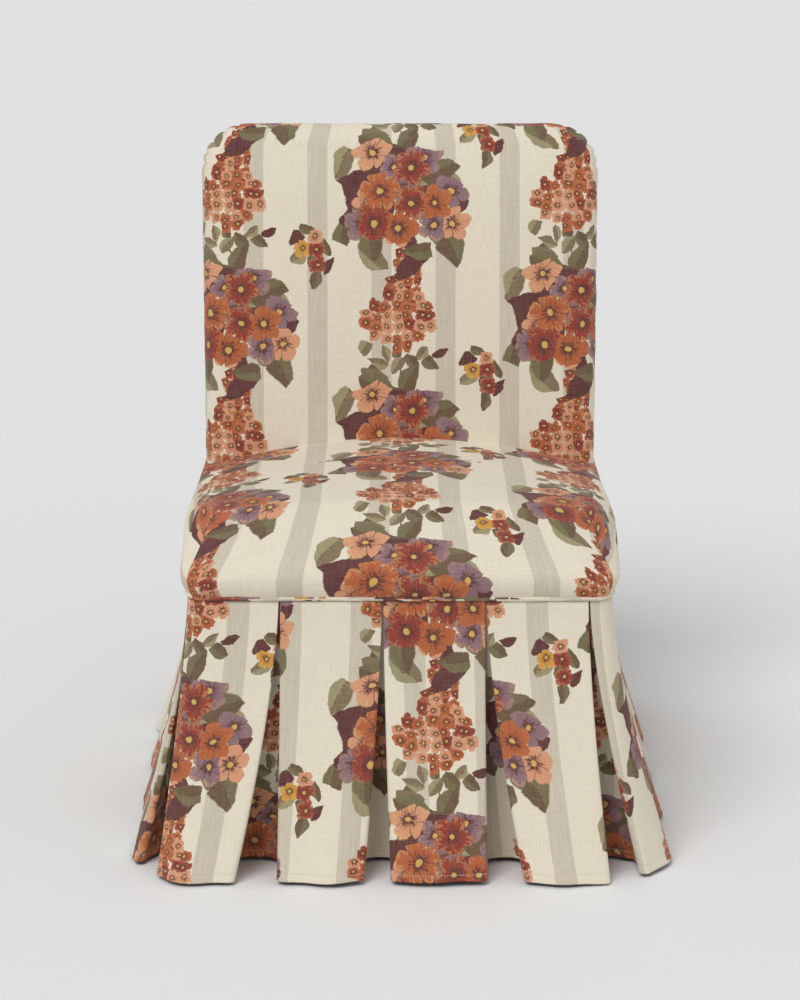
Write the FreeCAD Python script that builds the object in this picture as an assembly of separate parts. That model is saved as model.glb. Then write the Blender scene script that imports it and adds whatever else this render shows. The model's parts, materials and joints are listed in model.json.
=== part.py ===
"""Slipper chair: a low armless chair with a tight seat, a reclined back and a pleated skirt.

Millimetres. X runs across the chair, to the right of someone who faces it, the front faces -Y and
+Z is up. The origin is on the floor under the middle of the chair.

A hardwood frame of seat rails, back posts and a crest rail carries interlaced webbing, burlap,
foam, wadding and cloth covers. A welt closes the seat, and the skirt hangs below it in box pleats.
"""

import FreeCAD
import Part
import math
import os

Vector = FreeCAD.Vector
os.makedirs("parts", exist_ok=True)

# Overall
HEIGHT = 876.0
SEAT_WIDTH = 542.0
SEAT_DEPTH = 597.0
WELT_HEIGHT = 360.0
SEAT_CORNER = 30.0

# Seat cushion, measured on the outside of its cover
SEAT_SWELL = 9.0
SEAT_SWELL_RISE = 60.0
SEAT_SHOULDER = 28.0
SEAT_CROWN_RISE = 17.0
SEAT_CROWN_INSET = 170.0
SEAT_CROWN_CORNER = 90.0
SEAT_PITCH = 2.0

# Back, measured on the outside of its cover
INSIDE_SEAT_DEPTH = 480.0
BACK_RECLINE = 11.0
BACK_FOOT_STEP = 6.0
BACK_TOP_STEP = 10.0
BACK_TOP_THICKNESS = 108.0
BACK_CORNER = 70.0
BACK_FRONT_ROLL = 37.0
BACK_SIDE_ROLL = 20.0
BACK_REAR_ROLL = 14.0
BACK_CROWN = 12.0
BACK_CROWN_INSET = 150.0
BACK_CROWN_CORNER = 60.0

# Cloth and padding
COVER = 1.5
WADDING = 6.0
BURLAP = 1.2
LAYER_GAP = 0.3
BACK_PAD = 34.0
BACK_BOARD = 3.0
BACK_TOP_PAD = 10.0
SEAT_TONGUE = 14.0

# Welt
WELT_DIAMETER = 7.0
WELT_CORD_DIAMETER = 4.4
WELT_SINK = 0.5

# Webbing
STRAP_THICKNESS = 2.0
SEAT_STRAP_WIDTH = 58.0
SEAT_STRAPS = 5
SEAT_CROSS_STRAPS = 5
BACK_STRAP_WIDTH = 48.0
BACK_STRAPS = 4
BACK_CROSS_STRAPS = 3
STRAP_LANDING = 18.0
STRAP_SLACK = 0.1

# Frame
RAIL_THICKNESS = 28.0
RAIL_HEIGHT = 90.0
RAIL_ABOVE_WELT = 25.0
POST_THICKNESS = 32.0
POST_TOP_DEPTH = 40.0
POST_FOOT = 34.0
CREST_HEIGHT = 92.0
CREST_THICKNESS = 30.0
LOWER_RAIL_HEIGHT = 60.0
LOWER_RAIL_LIFT = 30.0
BLOCK_LEG = 92.0
BLOCK_HEIGHT = 40.0

# Front legs and glides
LEG_TOP = 45.0
LEG_FOOT = 30.0
LEG_CORNER_OFFSET = 12.0
LEG_PLATE = 2.5
LEG_PLATE_SIDE = 60.0
LEG_BOLT_DIAMETER = 8.0
LEG_BOLT_REACH = 32.0
GLIDE_DIAMETER = 22.0
GLIDE_HEIGHT = 6.0
GLIDE_EDGE = 1.5

# Joinery
DOWEL_DIAMETER = 10.0
DOWEL_LENGTH = 50.0
DOWEL_SPACING = 40.0
DOWEL_FRONT_BITE = 18.0
JOINERY_GAP = 0.15

# Skirt
SKIRT_FLARE = 77.0
SKIRT_HEM_CORNER = 100.0
HEM_GAP = 6.0
PLEATS = 17
PLEAT_SHIFT = -22.0
SIDE_PLEATS = (4, 5, 4, 4)
SKIRT_CLOTH = 1.3
LINING_CLOTH = 0.8
LINING_DROP = 0.06
PLEAT_MOUTH_TOP = 0.9
PLEAT_MOUTH_HEM = 24.0
PLEAT_UNDER_HEM = 40.0
PLEAT_DEPTH_TOP = 4.2
PLEAT_DEPTH_HEM = 56.0
PLEAT_SAG_HEM = 26.0
PLEAT_ROLL_TOP = 3.0
PLEAT_ROLL_HEM = 11.0
PANEL_BELLY_HEM = 4.0
TACK_STRIP = 1.2
TACK_STRIP_HEIGHT = 12.0
DUST_COVER = 1.0
DUST_COVER_MARGIN = 14.0

# Levels down the skirt, as shares of its drop, and the power of its flare
SKIRT_LEVELS = (0.0, 0.35, 0.7, 1.0)
FLARE_POWER = 1.5
PANEL_SHARES = (0.25, 0.5, 0.75)
UNDERLAY_SHARE = 0.55
UNDERLAY_SAG = 0.7

# Derived places
RECLINE = math.radians(BACK_RECLINE)
COVER_INNER = COVER + LAYER_GAP
WADDING_INNER = COVER_INNER + WADDING
CORE_INSET = WADDING_INNER + LAYER_GAP
RAIL_TOP = WELT_HEIGHT + RAIL_ABOVE_WELT
RAIL_BOTTOM = RAIL_TOP - RAIL_HEIGHT
WELT_RADIUS = WELT_DIAMETER / 2
COVER_EDGE_Z = WELT_HEIGHT + WELT_RADIUS + LAYER_GAP
SKIRT_TOP_Z = WELT_HEIGHT - WELT_RADIUS - LAYER_GAP
RAIL_HALF_X = SEAT_WIDTH / 2 - CORE_INSET
RAIL_HALF_Y = SEAT_DEPTH / 2 - CORE_INSET
RAIL_CORNER = SEAT_CORNER - CORE_INSET
WEBBING_TOP = RAIL_TOP + 2 * STRAP_THICKNESS
SEAT_BURLAP_TOP = WEBBING_TOP + BURLAP
SWELL_Z = WELT_HEIGHT + SEAT_SWELL_RISE
BACK_FOOT = Vector(0, -SEAT_DEPTH / 2 + INSIDE_SEAT_DEPTH, SWELL_Z + SEAT_SHOULDER)
LEG_TOP_Z = RAIL_BOTTOM - DUST_COVER - LEG_PLATE
FAR = 2 * HEIGHT

# How the facets are laid: turns of the rolls in degrees, shares of the swell and crown, chords to a
# round corner, sides to a peg, glide or welt
SHOULDER_TURNS = (30.0, 55.0, 80.0)
ROLL_TURNS = (80.0, 55.0, 33.0, BACK_RECLINE, 0.0)
REAR_ROLL_TURNS = (0.0, 30.0, 60.0, 85.0)
MID_SHARE = 0.45
CORNER_CHORDS = 4
PEG_SIDES = 8
GLIDE_SIDES = 16
WELT_SIDES = 8
SEW_TOLERANCE = 0.001


def write(name, shape):
    """One sub-part as a STEP file."""
    shape.exportStep("parts/" + name + ".step")


def box(x0, x1, y0, y1, z0, z1):
    return Part.makeBox(x1 - x0, y1 - y0, z1 - z0, Vector(x0, y0, z0))


def prism(points, direction):
    """A closed outline pushed along a direction."""
    return Part.Face(Part.makePolygon(points + points[:1])).extrude(direction)


def joined(shapes):
    return Part.makeCompound(shapes)


def mirrored_pair(shape):
    return joined([shape, shape.mirror(Vector(), Vector(1, 0, 0))])


# Rounded outlines and faceted lofts

def rounded_ring(corners, radii, place):
    """A closed outline whose round corners are runs of equal chords, placed by a function.

    The chords point the same way at every radius, so lofts between parallel outlines are flat.
    """
    count = len(corners)
    points = []
    for i, here in enumerate(corners):
        back = (corners[i - 1] - here).normalize()
        ahead = (corners[(i + 1) % count] - here).normalize()
        half = back.getAngle(ahead) / 2
        if radii[i] <= 0:
            points.append(here)
            continue
        centre = here + (back + ahead).normalize() * (radii[i] / math.sin(half))
        spoke = here + back * (radii[i] / math.tan(half)) - centre
        turn = (math.pi - 2 * half) / CORNER_CHORDS
        for step in range(CORNER_CHORDS + 1):
            angle = step * turn
            points.append(centre + Vector(spoke.x * math.cos(angle) - spoke.y * math.sin(angle),
                                          spoke.x * math.sin(angle) + spoke.y * math.cos(angle), 0))
    return [place(p) for p in points]


def rounded_rectangle(half_x, y0, y1, radius, z, pitch=0.0):
    """A rounded rectangle at a height, whose rear falls by the pitch."""
    fall = math.sin(math.radians(pitch))
    run = math.cos(math.radians(pitch))

    def place(p):
        return Vector(p.x, p.y * run, z - p.y * fall)

    corners = [Vector(-half_x, y0 / run, 0), Vector(half_x, y0 / run, 0),
               Vector(half_x, y1 / run, 0), Vector(-half_x, y1 / run, 0)]
    return rounded_ring(corners, [radius] * 4, place)


def sewn(points, triangles):
    """A solid of flat facets that share their edges."""
    skin = Part.Shape()
    skin.makeShapeFromMesh((points, triangles), SEW_TOLERANCE)
    solid = Part.Solid(Part.Shell(skin.Faces))
    if solid.Volume < 0:
        solid.reverse()
    return solid.removeSplitter()


def band(first, second, count, closed):
    """Triangles between two rows of points that start at these numbers."""
    triangles = []
    for i in range(count if closed else count - 1):
        j = (i + 1) % count
        triangles += [(first + i, first + j, second + j), (first + i, second + j, second + i)]
    return triangles


def ruled(rings):
    """A solid of straight facets through a stack of convex rings, closed flat at both ends."""
    count = len(rings[0])
    triangles = []
    for level in range(len(rings) - 1):
        triangles += band(level * count, (level + 1) * count, count, True)
    last = (len(rings) - 1) * count
    for i in range(1, count - 1):
        triangles += [(0, i + 1, i), (last, last + i, last + i + 1)]
    return sewn([p for ring in rings for p in ring], triangles)


def closed_tube(rings):
    """A solid ring whose section runs through a closed stack of rings."""
    count = len(rings[0])
    triangles = []
    for level in range(len(rings)):
        triangles += band(level * count, (level + 1) % len(rings) * count, count, True)
    return sewn([p for ring in rings for p in ring], triangles)


def flat_plate(half_x, y0, y1, radius, z0, z1):
    return prism(rounded_rectangle(half_x, y0, y1, radius, z0), Vector(0, 0, z1 - z0))


# The seat's soft form

def seat_levels(depth):
    """Outset, height and corner of each level of the seat, this far under its cover."""
    shoulder = SEAT_SHOULDER - depth
    crown_top = SWELL_Z + SEAT_SHOULDER + SEAT_CROWN_RISE - depth
    levels = [(-depth, RAIL_BOTTOM)]
    for share in (0.0, MID_SHARE, 1.0):
        swell = SEAT_SWELL * (1 - (1 - share) ** 2)
        levels.append((swell - depth, WELT_HEIGHT + share * SEAT_SWELL_RISE))
    for angle in SHOULDER_TURNS:
        turn = math.radians(angle)
        out = SEAT_SWELL - SEAT_SHOULDER + shoulder * math.cos(turn)
        levels.append((out, SWELL_Z + shoulder * math.sin(turn)))
    edge_out, edge_z = levels[-1]
    result = [(out, z, SEAT_CORNER + out) for out, z in levels]
    for share in (MID_SHARE, 1.0):
        out = edge_out + share * (-SEAT_CROWN_INSET - edge_out)
        z = crown_top - (crown_top - edge_z) * (1 - share) ** 2
        corner = SEAT_CORNER + edge_out + share * (SEAT_CROWN_CORNER - SEAT_CORNER - edge_out)
        result.append((out, z, corner))
    return result


def outside_back_y(z):
    """Where the outside back stands at a height: one plane from the welt to the top."""
    return SEAT_DEPTH / 2 + (z - WELT_HEIGHT) * math.tan(REAR_RAKE)


def seat_form(depth, bottom):
    """The seat as a solid, this far under its cover, cut off level at the bottom.

    Its rear stays under the outside back's cloth, which hangs down over it to the welt.
    """
    sections = []
    fall = SEAT_DEPTH / 2 * math.tan(math.radians(SEAT_PITCH))
    for out, z, corner in seat_levels(depth):
        front = -SEAT_DEPTH / 2 - out
        rear = min(outside_back_y(z - fall) - 2 * COVER_INNER - depth, SEAT_DEPTH / 2 + out)
        sections.append(rounded_rectangle(SEAT_WIDTH / 2 + out, front, rear, corner, z, SEAT_PITCH))
    return ruled(sections).cut(box(-FAR, FAR, -FAR, FAR, -FAR, bottom))


# The back's soft form

def on_front(x, up, depth):
    """A point of the back from its own axes: across, up the slope and into the thickness."""
    return BACK_FOOT + Vector(x, up * math.sin(RECLINE) + depth * math.cos(RECLINE),
                              up * math.cos(RECLINE) - depth * math.sin(RECLINE))


def on_rear(x, up, depth):
    """The same from the outside back: across, up from the welt and forward into the back."""
    return Vector(x, SEAT_DEPTH / 2 + up * math.sin(REAR_RAKE) - depth * math.cos(REAR_RAKE),
                  WELT_HEIGHT + up * math.cos(REAR_RAKE) + depth * math.sin(REAR_RAKE))


BACK_RISE = BACK_FRONT_ROLL + (HEIGHT - BACK_FRONT_ROLL - BACK_FOOT.z
                               + BACK_FRONT_ROLL * math.sin(RECLINE)) / math.cos(RECLINE)
BACK_TOP_EDGE = on_front(0, BACK_RISE, BACK_TOP_THICKNESS)
REAR_RAKE = math.atan((BACK_TOP_EDGE.y - SEAT_DEPTH / 2) / (BACK_TOP_EDGE.z - WELT_HEIGHT))
REAR_RISE = (BACK_TOP_EDGE - Vector(0, SEAT_DEPTH / 2, WELT_HEIGHT)).Length


def back_half_width(z):
    share = (z - BACK_FOOT.z) / (HEIGHT - BACK_FOOT.z)
    return SEAT_WIDTH / 2 + BACK_FOOT_STEP + (BACK_TOP_STEP - BACK_FOOT_STEP) * share


def back_section(place, low, high, inset_side, inset_top, corner, depth):
    """One slice of the back: upright sides, rounded top corners and a square foot."""
    def spot(p):
        return place(p.x, p.y, depth)

    low_half = back_half_width(place(0, low, depth).z) - inset_side
    high_half = back_half_width(place(0, high, depth).z) - inset_side
    corners = [Vector(-low_half, low, 0), Vector(low_half, low, 0),
               Vector(high_half, high - inset_top, 0), Vector(-high_half, high - inset_top, 0)]
    return rounded_ring(corners, [0, 0, corner, corner], spot)


def back_form(depth):
    """The back as a solid, this far under its cover, reaching down behind the seat."""
    low = (WELT_HEIGHT - BACK_FOOT.z) / math.cos(RECLINE)
    sections = []
    edge_inset = BACK_FRONT_ROLL - (BACK_FRONT_ROLL - depth) * math.cos(math.radians(ROLL_TURNS[0]))
    edge_depth = BACK_FRONT_ROLL - (BACK_FRONT_ROLL - depth) * math.sin(math.radians(ROLL_TURNS[0]))
    for share in (1.0, MID_SHARE):
        inset = edge_inset + share * (BACK_CROWN_INSET - edge_inset)
        sink = edge_depth - (edge_depth + BACK_CROWN - depth) * (1 - (1 - share) ** 2)
        corner = BACK_CORNER - edge_inset + share * (BACK_CROWN_CORNER - BACK_CORNER + edge_inset)
        sections.append(back_section(on_front, low, BACK_RISE, inset, inset, corner, sink))
    for angle in ROLL_TURNS:
        turn = math.radians(angle)
        side = BACK_SIDE_ROLL - (BACK_SIDE_ROLL - depth) * math.cos(turn)
        top = BACK_FRONT_ROLL - (BACK_FRONT_ROLL - depth) * math.cos(turn)
        sink = BACK_FRONT_ROLL - (BACK_FRONT_ROLL - depth) * math.sin(turn)
        sections.append(back_section(on_front, low, BACK_RISE, side, top,
                                     BACK_CORNER - top, sink))
    for angle in REAR_ROLL_TURNS:
        turn = math.radians(angle)
        inset = BACK_REAR_ROLL - (BACK_REAR_ROLL - depth) * math.cos(turn)
        sink = BACK_REAR_ROLL - (BACK_REAR_ROLL - depth) * math.sin(turn)
        sections.append(back_section(on_rear, 0, REAR_RISE, inset, inset,
                                     BACK_CORNER - inset, sink))
    return ruled(sections)


def slope_slab(depth0, depth1):
    """All space between two depths behind the inside back."""
    points = [on_front(-FAR, up, depth) for up, depth in
              ((-FAR, depth0), (FAR, depth0), (FAR, depth1), (-FAR, depth1))]
    return prism(points, Vector(2 * FAR, 0, 0))


def rear_slab(depth0, depth1):
    """All space between two depths in front of the outside back."""
    points = [on_rear(-FAR, up, depth) for up, depth in
              ((-FAR, depth0), (FAR, depth0), (FAR, depth1), (-FAR, depth1))]
    return prism(points, Vector(2 * FAR, 0, 0))


# Frame

def rails():
    """Front, left, right and back seat rails, butted between the posts and the front rail."""
    front = flat_plate(RAIL_HALF_X, -RAIL_HALF_Y, RAIL_HALF_Y, RAIL_CORNER, RAIL_BOTTOM, RAIL_TOP)
    front = front.common(box(-FAR, FAR, -RAIL_HALF_Y, -RAIL_HALF_Y + RAIL_THICKNESS, 0, HEIGHT))
    right = box(RAIL_HALF_X - RAIL_THICKNESS, RAIL_HALF_X, -RAIL_HALF_Y + RAIL_THICKNESS,
                POST_FRONT_Y, RAIL_BOTTOM, RAIL_TOP)
    left = right.mirror(Vector(), Vector(1, 0, 0))
    back = box(-POST_INNER_X, POST_INNER_X, RAIL_HALF_Y - RAIL_THICKNESS, RAIL_HALF_Y,
               RAIL_BOTTOM, RAIL_TOP)
    return front, left, right, back


def back_post():
    """The right post: a rear leg, the seat joint and the raked upright, sawn from one board."""
    top_front = on_front(0, POST_TOP_RISE, FRAME_DEPTH)
    seat_front = Vector(0, POST_FRONT_Y, RAIL_TOP)
    low_front = Vector(0, POST_FRONT_Y, RAIL_BOTTOM)
    foot_front = Vector(0, RAIL_HALF_Y - POST_FOOT, GLIDE_HEIGHT)
    foot_rear = Vector(0, RAIL_HALF_Y, GLIDE_HEIGHT)
    seat_rear = Vector(0, RAIL_HALF_Y, RAIL_TOP)
    top_rear = top_front + Vector(0, math.cos(RECLINE), -math.sin(RECLINE)) * POST_TOP_DEPTH
    outline = [top_front, seat_front, low_front, foot_front, foot_rear, seat_rear, top_rear]
    outline = [p + Vector(POST_INNER_X, 0, 0) for p in outline]
    return prism(outline, Vector(POST_THICKNESS, 0, 0))


def crest_rail():
    """The top rail, its upper corners rounded to the back's own outline."""
    half = back_half_width(HEIGHT) - CREST_INSET
    high = BACK_RISE - CREST_INSET

    def place(p):
        return on_front(p.x, p.y, FRAME_DEPTH)

    corners = [Vector(-RAIL_HALF_X, POST_TOP_RISE, 0), Vector(RAIL_HALF_X, POST_TOP_RISE, 0),
               Vector(half, high, 0), Vector(-half, high, 0)]
    ring = rounded_ring(corners, [0, 0, BACK_CORNER - CREST_INSET, BACK_CORNER - CREST_INSET], place)
    return prism(ring, on_front(0, 0, CREST_THICKNESS) - on_front(0, 0, 0))


def lower_rail():
    """The rail between the posts just above the seat, which the back webbing is tacked to."""
    ring = [on_front(x, up, FRAME_DEPTH) for x, up in
            ((-POST_INNER_X, LOWER_RAIL_LIFT), (POST_INNER_X, LOWER_RAIL_LIFT),
             (POST_INNER_X, LOWER_RAIL_LIFT + LOWER_RAIL_HEIGHT),
             (-POST_INNER_X, LOWER_RAIL_LIFT + LOWER_RAIL_HEIGHT))]
    return prism(ring, on_front(0, 0, RAIL_THICKNESS) - on_front(0, 0, 0))


def corner_blocks(posts):
    """Four triangular blocks in the rail corners; the rear pair is notched round the posts."""
    x = RAIL_HALF_X - RAIL_THICKNESS
    blocks = []
    for end in (-1, 1):
        y = end * (RAIL_HALF_Y - RAIL_THICKNESS)
        z = RAIL_BOTTOM
        outline = [Vector(x, y, z), Vector(x - BLOCK_LEG, y, z), Vector(x, y - end * BLOCK_LEG, z)]
        block = prism(outline, Vector(0, 0, BLOCK_HEIGHT)).cut(posts)
        blocks += [block, block.mirror(Vector(), Vector(1, 0, 0))]
    return blocks


def peg(start, direction, diameter, length):
    """A dowel: an eight-sided pin that spans its round hole's diameter."""
    side = direction.cross(Vector(0.1, 0.2, 1) if abs(direction.z) < 0.5 else Vector(1, 0, 0))
    side.normalize()
    other = direction.cross(side)
    ring = []
    for step in range(PEG_SIDES):
        angle = 2 * math.pi * step / PEG_SIDES
        ring.append(start + (side * math.cos(angle) + other * math.sin(angle)) * (diameter / 2))
    return prism(ring, direction * length)


def dowels(gap):
    """Pairs of dowels: side rails to front rail and posts, back rail and lower rail to posts."""
    pegs = []
    bore = DOWEL_DIAMETER + 2 * gap
    length = DOWEL_LENGTH + 2 * gap
    middle = (RAIL_TOP + RAIL_BOTTOM) / 2
    lower = on_front(0, LOWER_RAIL_LIFT + LOWER_RAIL_HEIGHT / 2, FRAME_DEPTH + RAIL_THICKNESS / 2)
    rise = Vector(0, math.sin(RECLINE), math.cos(RECLINE))
    crest = on_front(0, POST_TOP_RISE, FRAME_DEPTH + CREST_THICKNESS / 2)
    for side in (-1, 1):
        for step in (-DOWEL_SPACING / 2, DOWEL_SPACING / 2):
            x = side * (RAIL_HALF_X - RAIL_THICKNESS / 2)
            front = Vector(x, -RAIL_HALF_Y + RAIL_THICKNESS, middle + step)
            pegs.append(peg(front - Vector(0, DOWEL_FRONT_BITE + gap, 0), Vector(0, 1, 0),
                            bore, length))
            rear = Vector(x, POST_FRONT_Y, middle + step)
            pegs.append(peg(rear - Vector(0, length / 2, 0), Vector(0, 1, 0), bore, length))
            inner = Vector(side * POST_INNER_X, RAIL_HALF_Y - RAIL_THICKNESS / 2, middle + step)
            pegs.append(peg(inner - Vector(side * (length - DOWEL_FRONT_BITE - gap), 0, 0),
                            Vector(side, 0, 0), bore, length))
            low = lower + Vector(side * POST_INNER_X, 0, 0) + rise * (step / 2)
            pegs.append(peg(low - Vector(side * (length - DOWEL_FRONT_BITE - gap), 0, 0),
                            Vector(side, 0, 0), bore, length))
        top = crest + Vector(side * (POST_INNER_X + POST_THICKNESS / 2), 0, 0)
        pegs.append(peg(top - rise * (length / 2), rise, bore, length))
    return pegs


def front_leg():
    """The right front leg, square and tapered on its two inner faces."""
    outer_x = RAIL_HALF_X - LEG_CORNER_OFFSET
    outer_y = -RAIL_HALF_Y + LEG_CORNER_OFFSET
    rings = []
    for side, z in ((LEG_FOOT, GLIDE_HEIGHT), (LEG_TOP, LEG_TOP_Z)):
        rings.append([Vector(outer_x - side, outer_y, z), Vector(outer_x, outer_y, z),
                      Vector(outer_x, outer_y + side, z), Vector(outer_x - side, outer_y + side, z)])
    return ruled(rings)


def leg_plate():
    x, y = LEG_AXIS
    half = LEG_PLATE_SIDE / 2
    return box(x - half, x + half, y - half, y + half, LEG_TOP_Z, LEG_TOP_Z + LEG_PLATE)


def leg_bolt(gap):
    """The hanger bolt from the leg up through its plate into the corner block."""
    x, y = LEG_AXIS
    reach = LEG_BOLT_REACH + gap
    return Part.makeCylinder(LEG_BOLT_DIAMETER / 2 + gap, 2 * reach + LEG_PLATE + DUST_COVER,
                             Vector(x, y, LEG_TOP_Z - reach))


def disc_ring(x, y, radius, z):
    return [Vector(x + radius * math.cos(step * 2 * math.pi / GLIDE_SIDES),
                   y + radius * math.sin(step * 2 * math.pi / GLIDE_SIDES), z)
            for step in range(GLIDE_SIDES)]


def glides():
    """A round glide under each leg and post, its rim eased and its foot flat."""
    radius = GLIDE_DIAMETER / 2
    feet = []
    for x, y in ((RAIL_HALF_X - LEG_CORNER_OFFSET - LEG_FOOT / 2,
                  -RAIL_HALF_Y + LEG_CORNER_OFFSET + LEG_FOOT / 2),
                 (POST_INNER_X + POST_THICKNESS / 2, RAIL_HALF_Y - POST_FOOT / 2)):
        foot = ruled([disc_ring(x, y, radius - GLIDE_EDGE, 0), disc_ring(x, y, radius, GLIDE_EDGE),
                      disc_ring(x, y, radius, GLIDE_HEIGHT)])
        feet += [foot, foot.mirror(Vector(), Vector(1, 0, 0))]
    return feet


# Webbing

def strap(crossings, start, end, lifted_first, place, across):
    """One strap woven over and under the straps it meets, as a flat ribbon of even thickness."""
    low = [start]
    levels = [0.0]
    lifted = lifted_first
    for near, far in crossings:
        level = STRAP_THICKNESS if lifted else 0.0
        low += [near, far]
        levels += [level, level]
        lifted = not lifted
    low.append(end)
    levels.append(0.0)
    under = [place(a, level) for a, level in zip(low, levels)]
    over = [place(a, level + STRAP_THICKNESS - STRAP_SLACK) for a, level in zip(low, levels)]
    return prism(under + over[::-1], across)


def spread(count, width, low, high):
    """Near and far edge of each of several straps, evenly spaced between two limits."""
    pitch = (high - low) / count
    return [(low + pitch * (i + 0.5) - width / 2, low + pitch * (i + 0.5) + width / 2)
            for i in range(count)]


def weave(along, crossing, limits, across_limits, along_place, across_place):
    """Two sets of interlaced straps, one along each direction."""
    first = []
    for i, (near, far) in enumerate(along):
        first.append(strap(crossing, limits[0], limits[1], i % 2 == 0,
                           lambda a, level, near=near: along_place(near, a, level),
                           along_place(far, 0, 0) - along_place(near, 0, 0)))
    second = []
    for j, (near, far) in enumerate(crossing):
        second.append(strap(along, across_limits[0], across_limits[1], j % 2 == 1,
                            lambda a, level, near=near: across_place(a, near, level),
                            across_place(0, far, 0) - across_place(0, near, 0)))
    return first, second


def seat_webbing():
    """Straps from front rail to back rail, woven with straps from side rail to side rail."""
    inner_x = POST_INNER_X - LAYER_GAP
    inner_y = RAIL_HALF_Y - RAIL_THICKNESS
    along = spread(SEAT_STRAPS, SEAT_STRAP_WIDTH, -inner_x, inner_x)
    crossing = spread(SEAT_CROSS_STRAPS, SEAT_STRAP_WIDTH, -inner_y, POST_FRONT_Y - LAYER_GAP)
    reach_x = RAIL_HALF_X - RAIL_THICKNESS + STRAP_LANDING
    reach_y = inner_y + STRAP_LANDING

    def place(x, y, level):
        return Vector(x, y, RAIL_TOP + level)

    return weave(along, crossing, (-reach_y, reach_y), (-reach_x, reach_x), place, place)


def back_webbing():
    """Straps up the back and across it, tacked to the front of the posts and rails."""
    low = LOWER_RAIL_LIFT + LOWER_RAIL_HEIGHT
    along = spread(BACK_STRAPS, BACK_STRAP_WIDTH, -POST_INNER_X, POST_INNER_X)
    crossing = spread(BACK_CROSS_STRAPS, BACK_STRAP_WIDTH, low, POST_TOP_RISE)
    reach_x = POST_INNER_X + STRAP_LANDING

    def place(x, up, level):
        return on_front(x, up, FRAME_DEPTH - level)

    return weave(along, crossing, (low - STRAP_LANDING, POST_TOP_RISE + STRAP_LANDING),
                 (-reach_x, reach_x), place, place)


# Seat layers

def back_well():
    """The space behind the inside back, above the rails, that the seat's layers leave to the frame."""
    low = on_front(0, (RAIL_TOP - BACK_FOOT.z) / math.cos(RECLINE), COVER_INNER)
    high = on_front(0, HEIGHT, COVER_INNER)
    half = RAIL_HALF_X - SEAT_TONGUE
    outline = [Vector(-half, low.y, RAIL_TOP), Vector(-half, high.y, high.z),
               Vector(-half, FAR, high.z), Vector(-half, FAR, RAIL_TOP)]
    return prism(outline, Vector(2 * half, 0, 0))


def seat_layers(posts):
    """Burlap, foam, wadding and cover of the seat, from the inside out."""
    well = back_well()
    edge = POST_FRONT_Y - LAYER_GAP
    burlap = flat_plate(RAIL_HALF_X, -RAIL_HALF_Y, edge, RAIL_CORNER, WEBBING_TOP, SEAT_BURLAP_TOP)
    foam = seat_form(CORE_INSET, SEAT_BURLAP_TOP + LAYER_GAP).cut(well).cut(posts)
    foam = foam.cut(box(-FAR, FAR, RAIL_HALF_Y, FAR, 0, HEIGHT))
    wadding_inner = seat_form(WADDING_INNER, RAIL_BOTTOM)
    wadding = seat_form(COVER_INNER, COVER_EDGE_Z).cut(wadding_inner).cut(well)
    cover = seat_form(0, COVER_EDGE_Z).cut(seat_form(COVER, RAIL_BOTTOM)).cut(well)
    return burlap, foam, wadding, cover


# Back layers

def below_swell():
    """Everything lower than the back's layers reach: the seat's sides stand out past them there."""
    return box(-FAR, FAR, -FAR, FAR, 0, SWELL_Z - SEAT_DEPTH / 2 * math.sin(math.radians(SEAT_PITCH)))


def seat_corners():
    """The space beside the outside back's lower end, where the seat's own rounded corners show."""
    half = SEAT_WIDTH / 2 - SEAT_CORNER / 2
    right = box(half, FAR, -FAR, FAR, 0, SWELL_Z)
    return joined([right, right.mirror(Vector(), Vector(1, 0, 0))])


def back_layers(seat_clear, frame):
    """Burlap, foam, wadding and covers of the back, and what fills it behind the frame."""
    core = back_form(CORE_INSET)
    wadding_form = back_form(COVER_INNER)
    web_depth = FRAME_DEPTH - 2 * STRAP_THICKNESS - LAYER_GAP
    burlap = slope_slab(web_depth - BURLAP, web_depth).common(core).cut(seat_clear)
    foam = core.common(slope_slab(-FAR, web_depth - BURLAP - LAYER_GAP)).cut(seat_clear)
    border = core.common(slope_slab(web_depth + LAYER_GAP, FAR))
    border = border.common(rear_slab(BOARD_DEPTH + BACK_BOARD + LAYER_GAP, FAR))
    border = border.cut(frame).cut(seat_clear).cut(below_swell())
    wadding = wadding_form.cut(back_form(WADDING_INNER)).cut(seat_clear)
    wadding = wadding.common(rear_slab(BOARD_DEPTH - LAYER_GAP, FAR)).cut(below_swell())
    board = rear_slab(BOARD_DEPTH, BOARD_DEPTH + BACK_BOARD).common(core).cut(seat_clear)
    pad = wadding_form.common(rear_slab(COVER_INNER, BOARD_DEPTH - 2 * LAYER_GAP)).cut(seat_clear)
    pad = pad.cut(below_swell())
    board = board.cut(below_swell())
    shell = back_form(0).cut(back_form(COVER)).cut(seat_clear)
    outside = shell.common(rear_slab(-FAR, BACK_REAR_ROLL - LAYER_GAP))
    outside = outside.cut(box(-FAR, FAR, -FAR, FAR, 0, COVER_EDGE_Z)).cut(seat_corners())
    inside = shell.common(rear_slab(BACK_REAR_ROLL, FAR)).cut(below_swell())
    return burlap, foam, border, wadding, board, pad, inside, outside


# Welt

def welt_tube(diameter, core=0.0):
    """A tube round the seat on the welt's centre line, solid or with a core left out."""
    def rings(width):
        loops = []
        for step in range(WELT_SIDES):
            angle = 2 * math.pi * step / WELT_SIDES
            out = width / 2 * math.cos(angle) - WELT_SINK
            loops.append(rounded_rectangle(SEAT_WIDTH / 2 + out, -SEAT_DEPTH / 2 - out,
                                           SEAT_DEPTH / 2 + out, SEAT_CORNER + out,
                                           WELT_HEIGHT + width / 2 * math.sin(angle)))
        return loops

    tube = closed_tube(rings(diameter))
    return tube.cut(closed_tube(rings(core))) if core else tube


# Skirt

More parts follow.
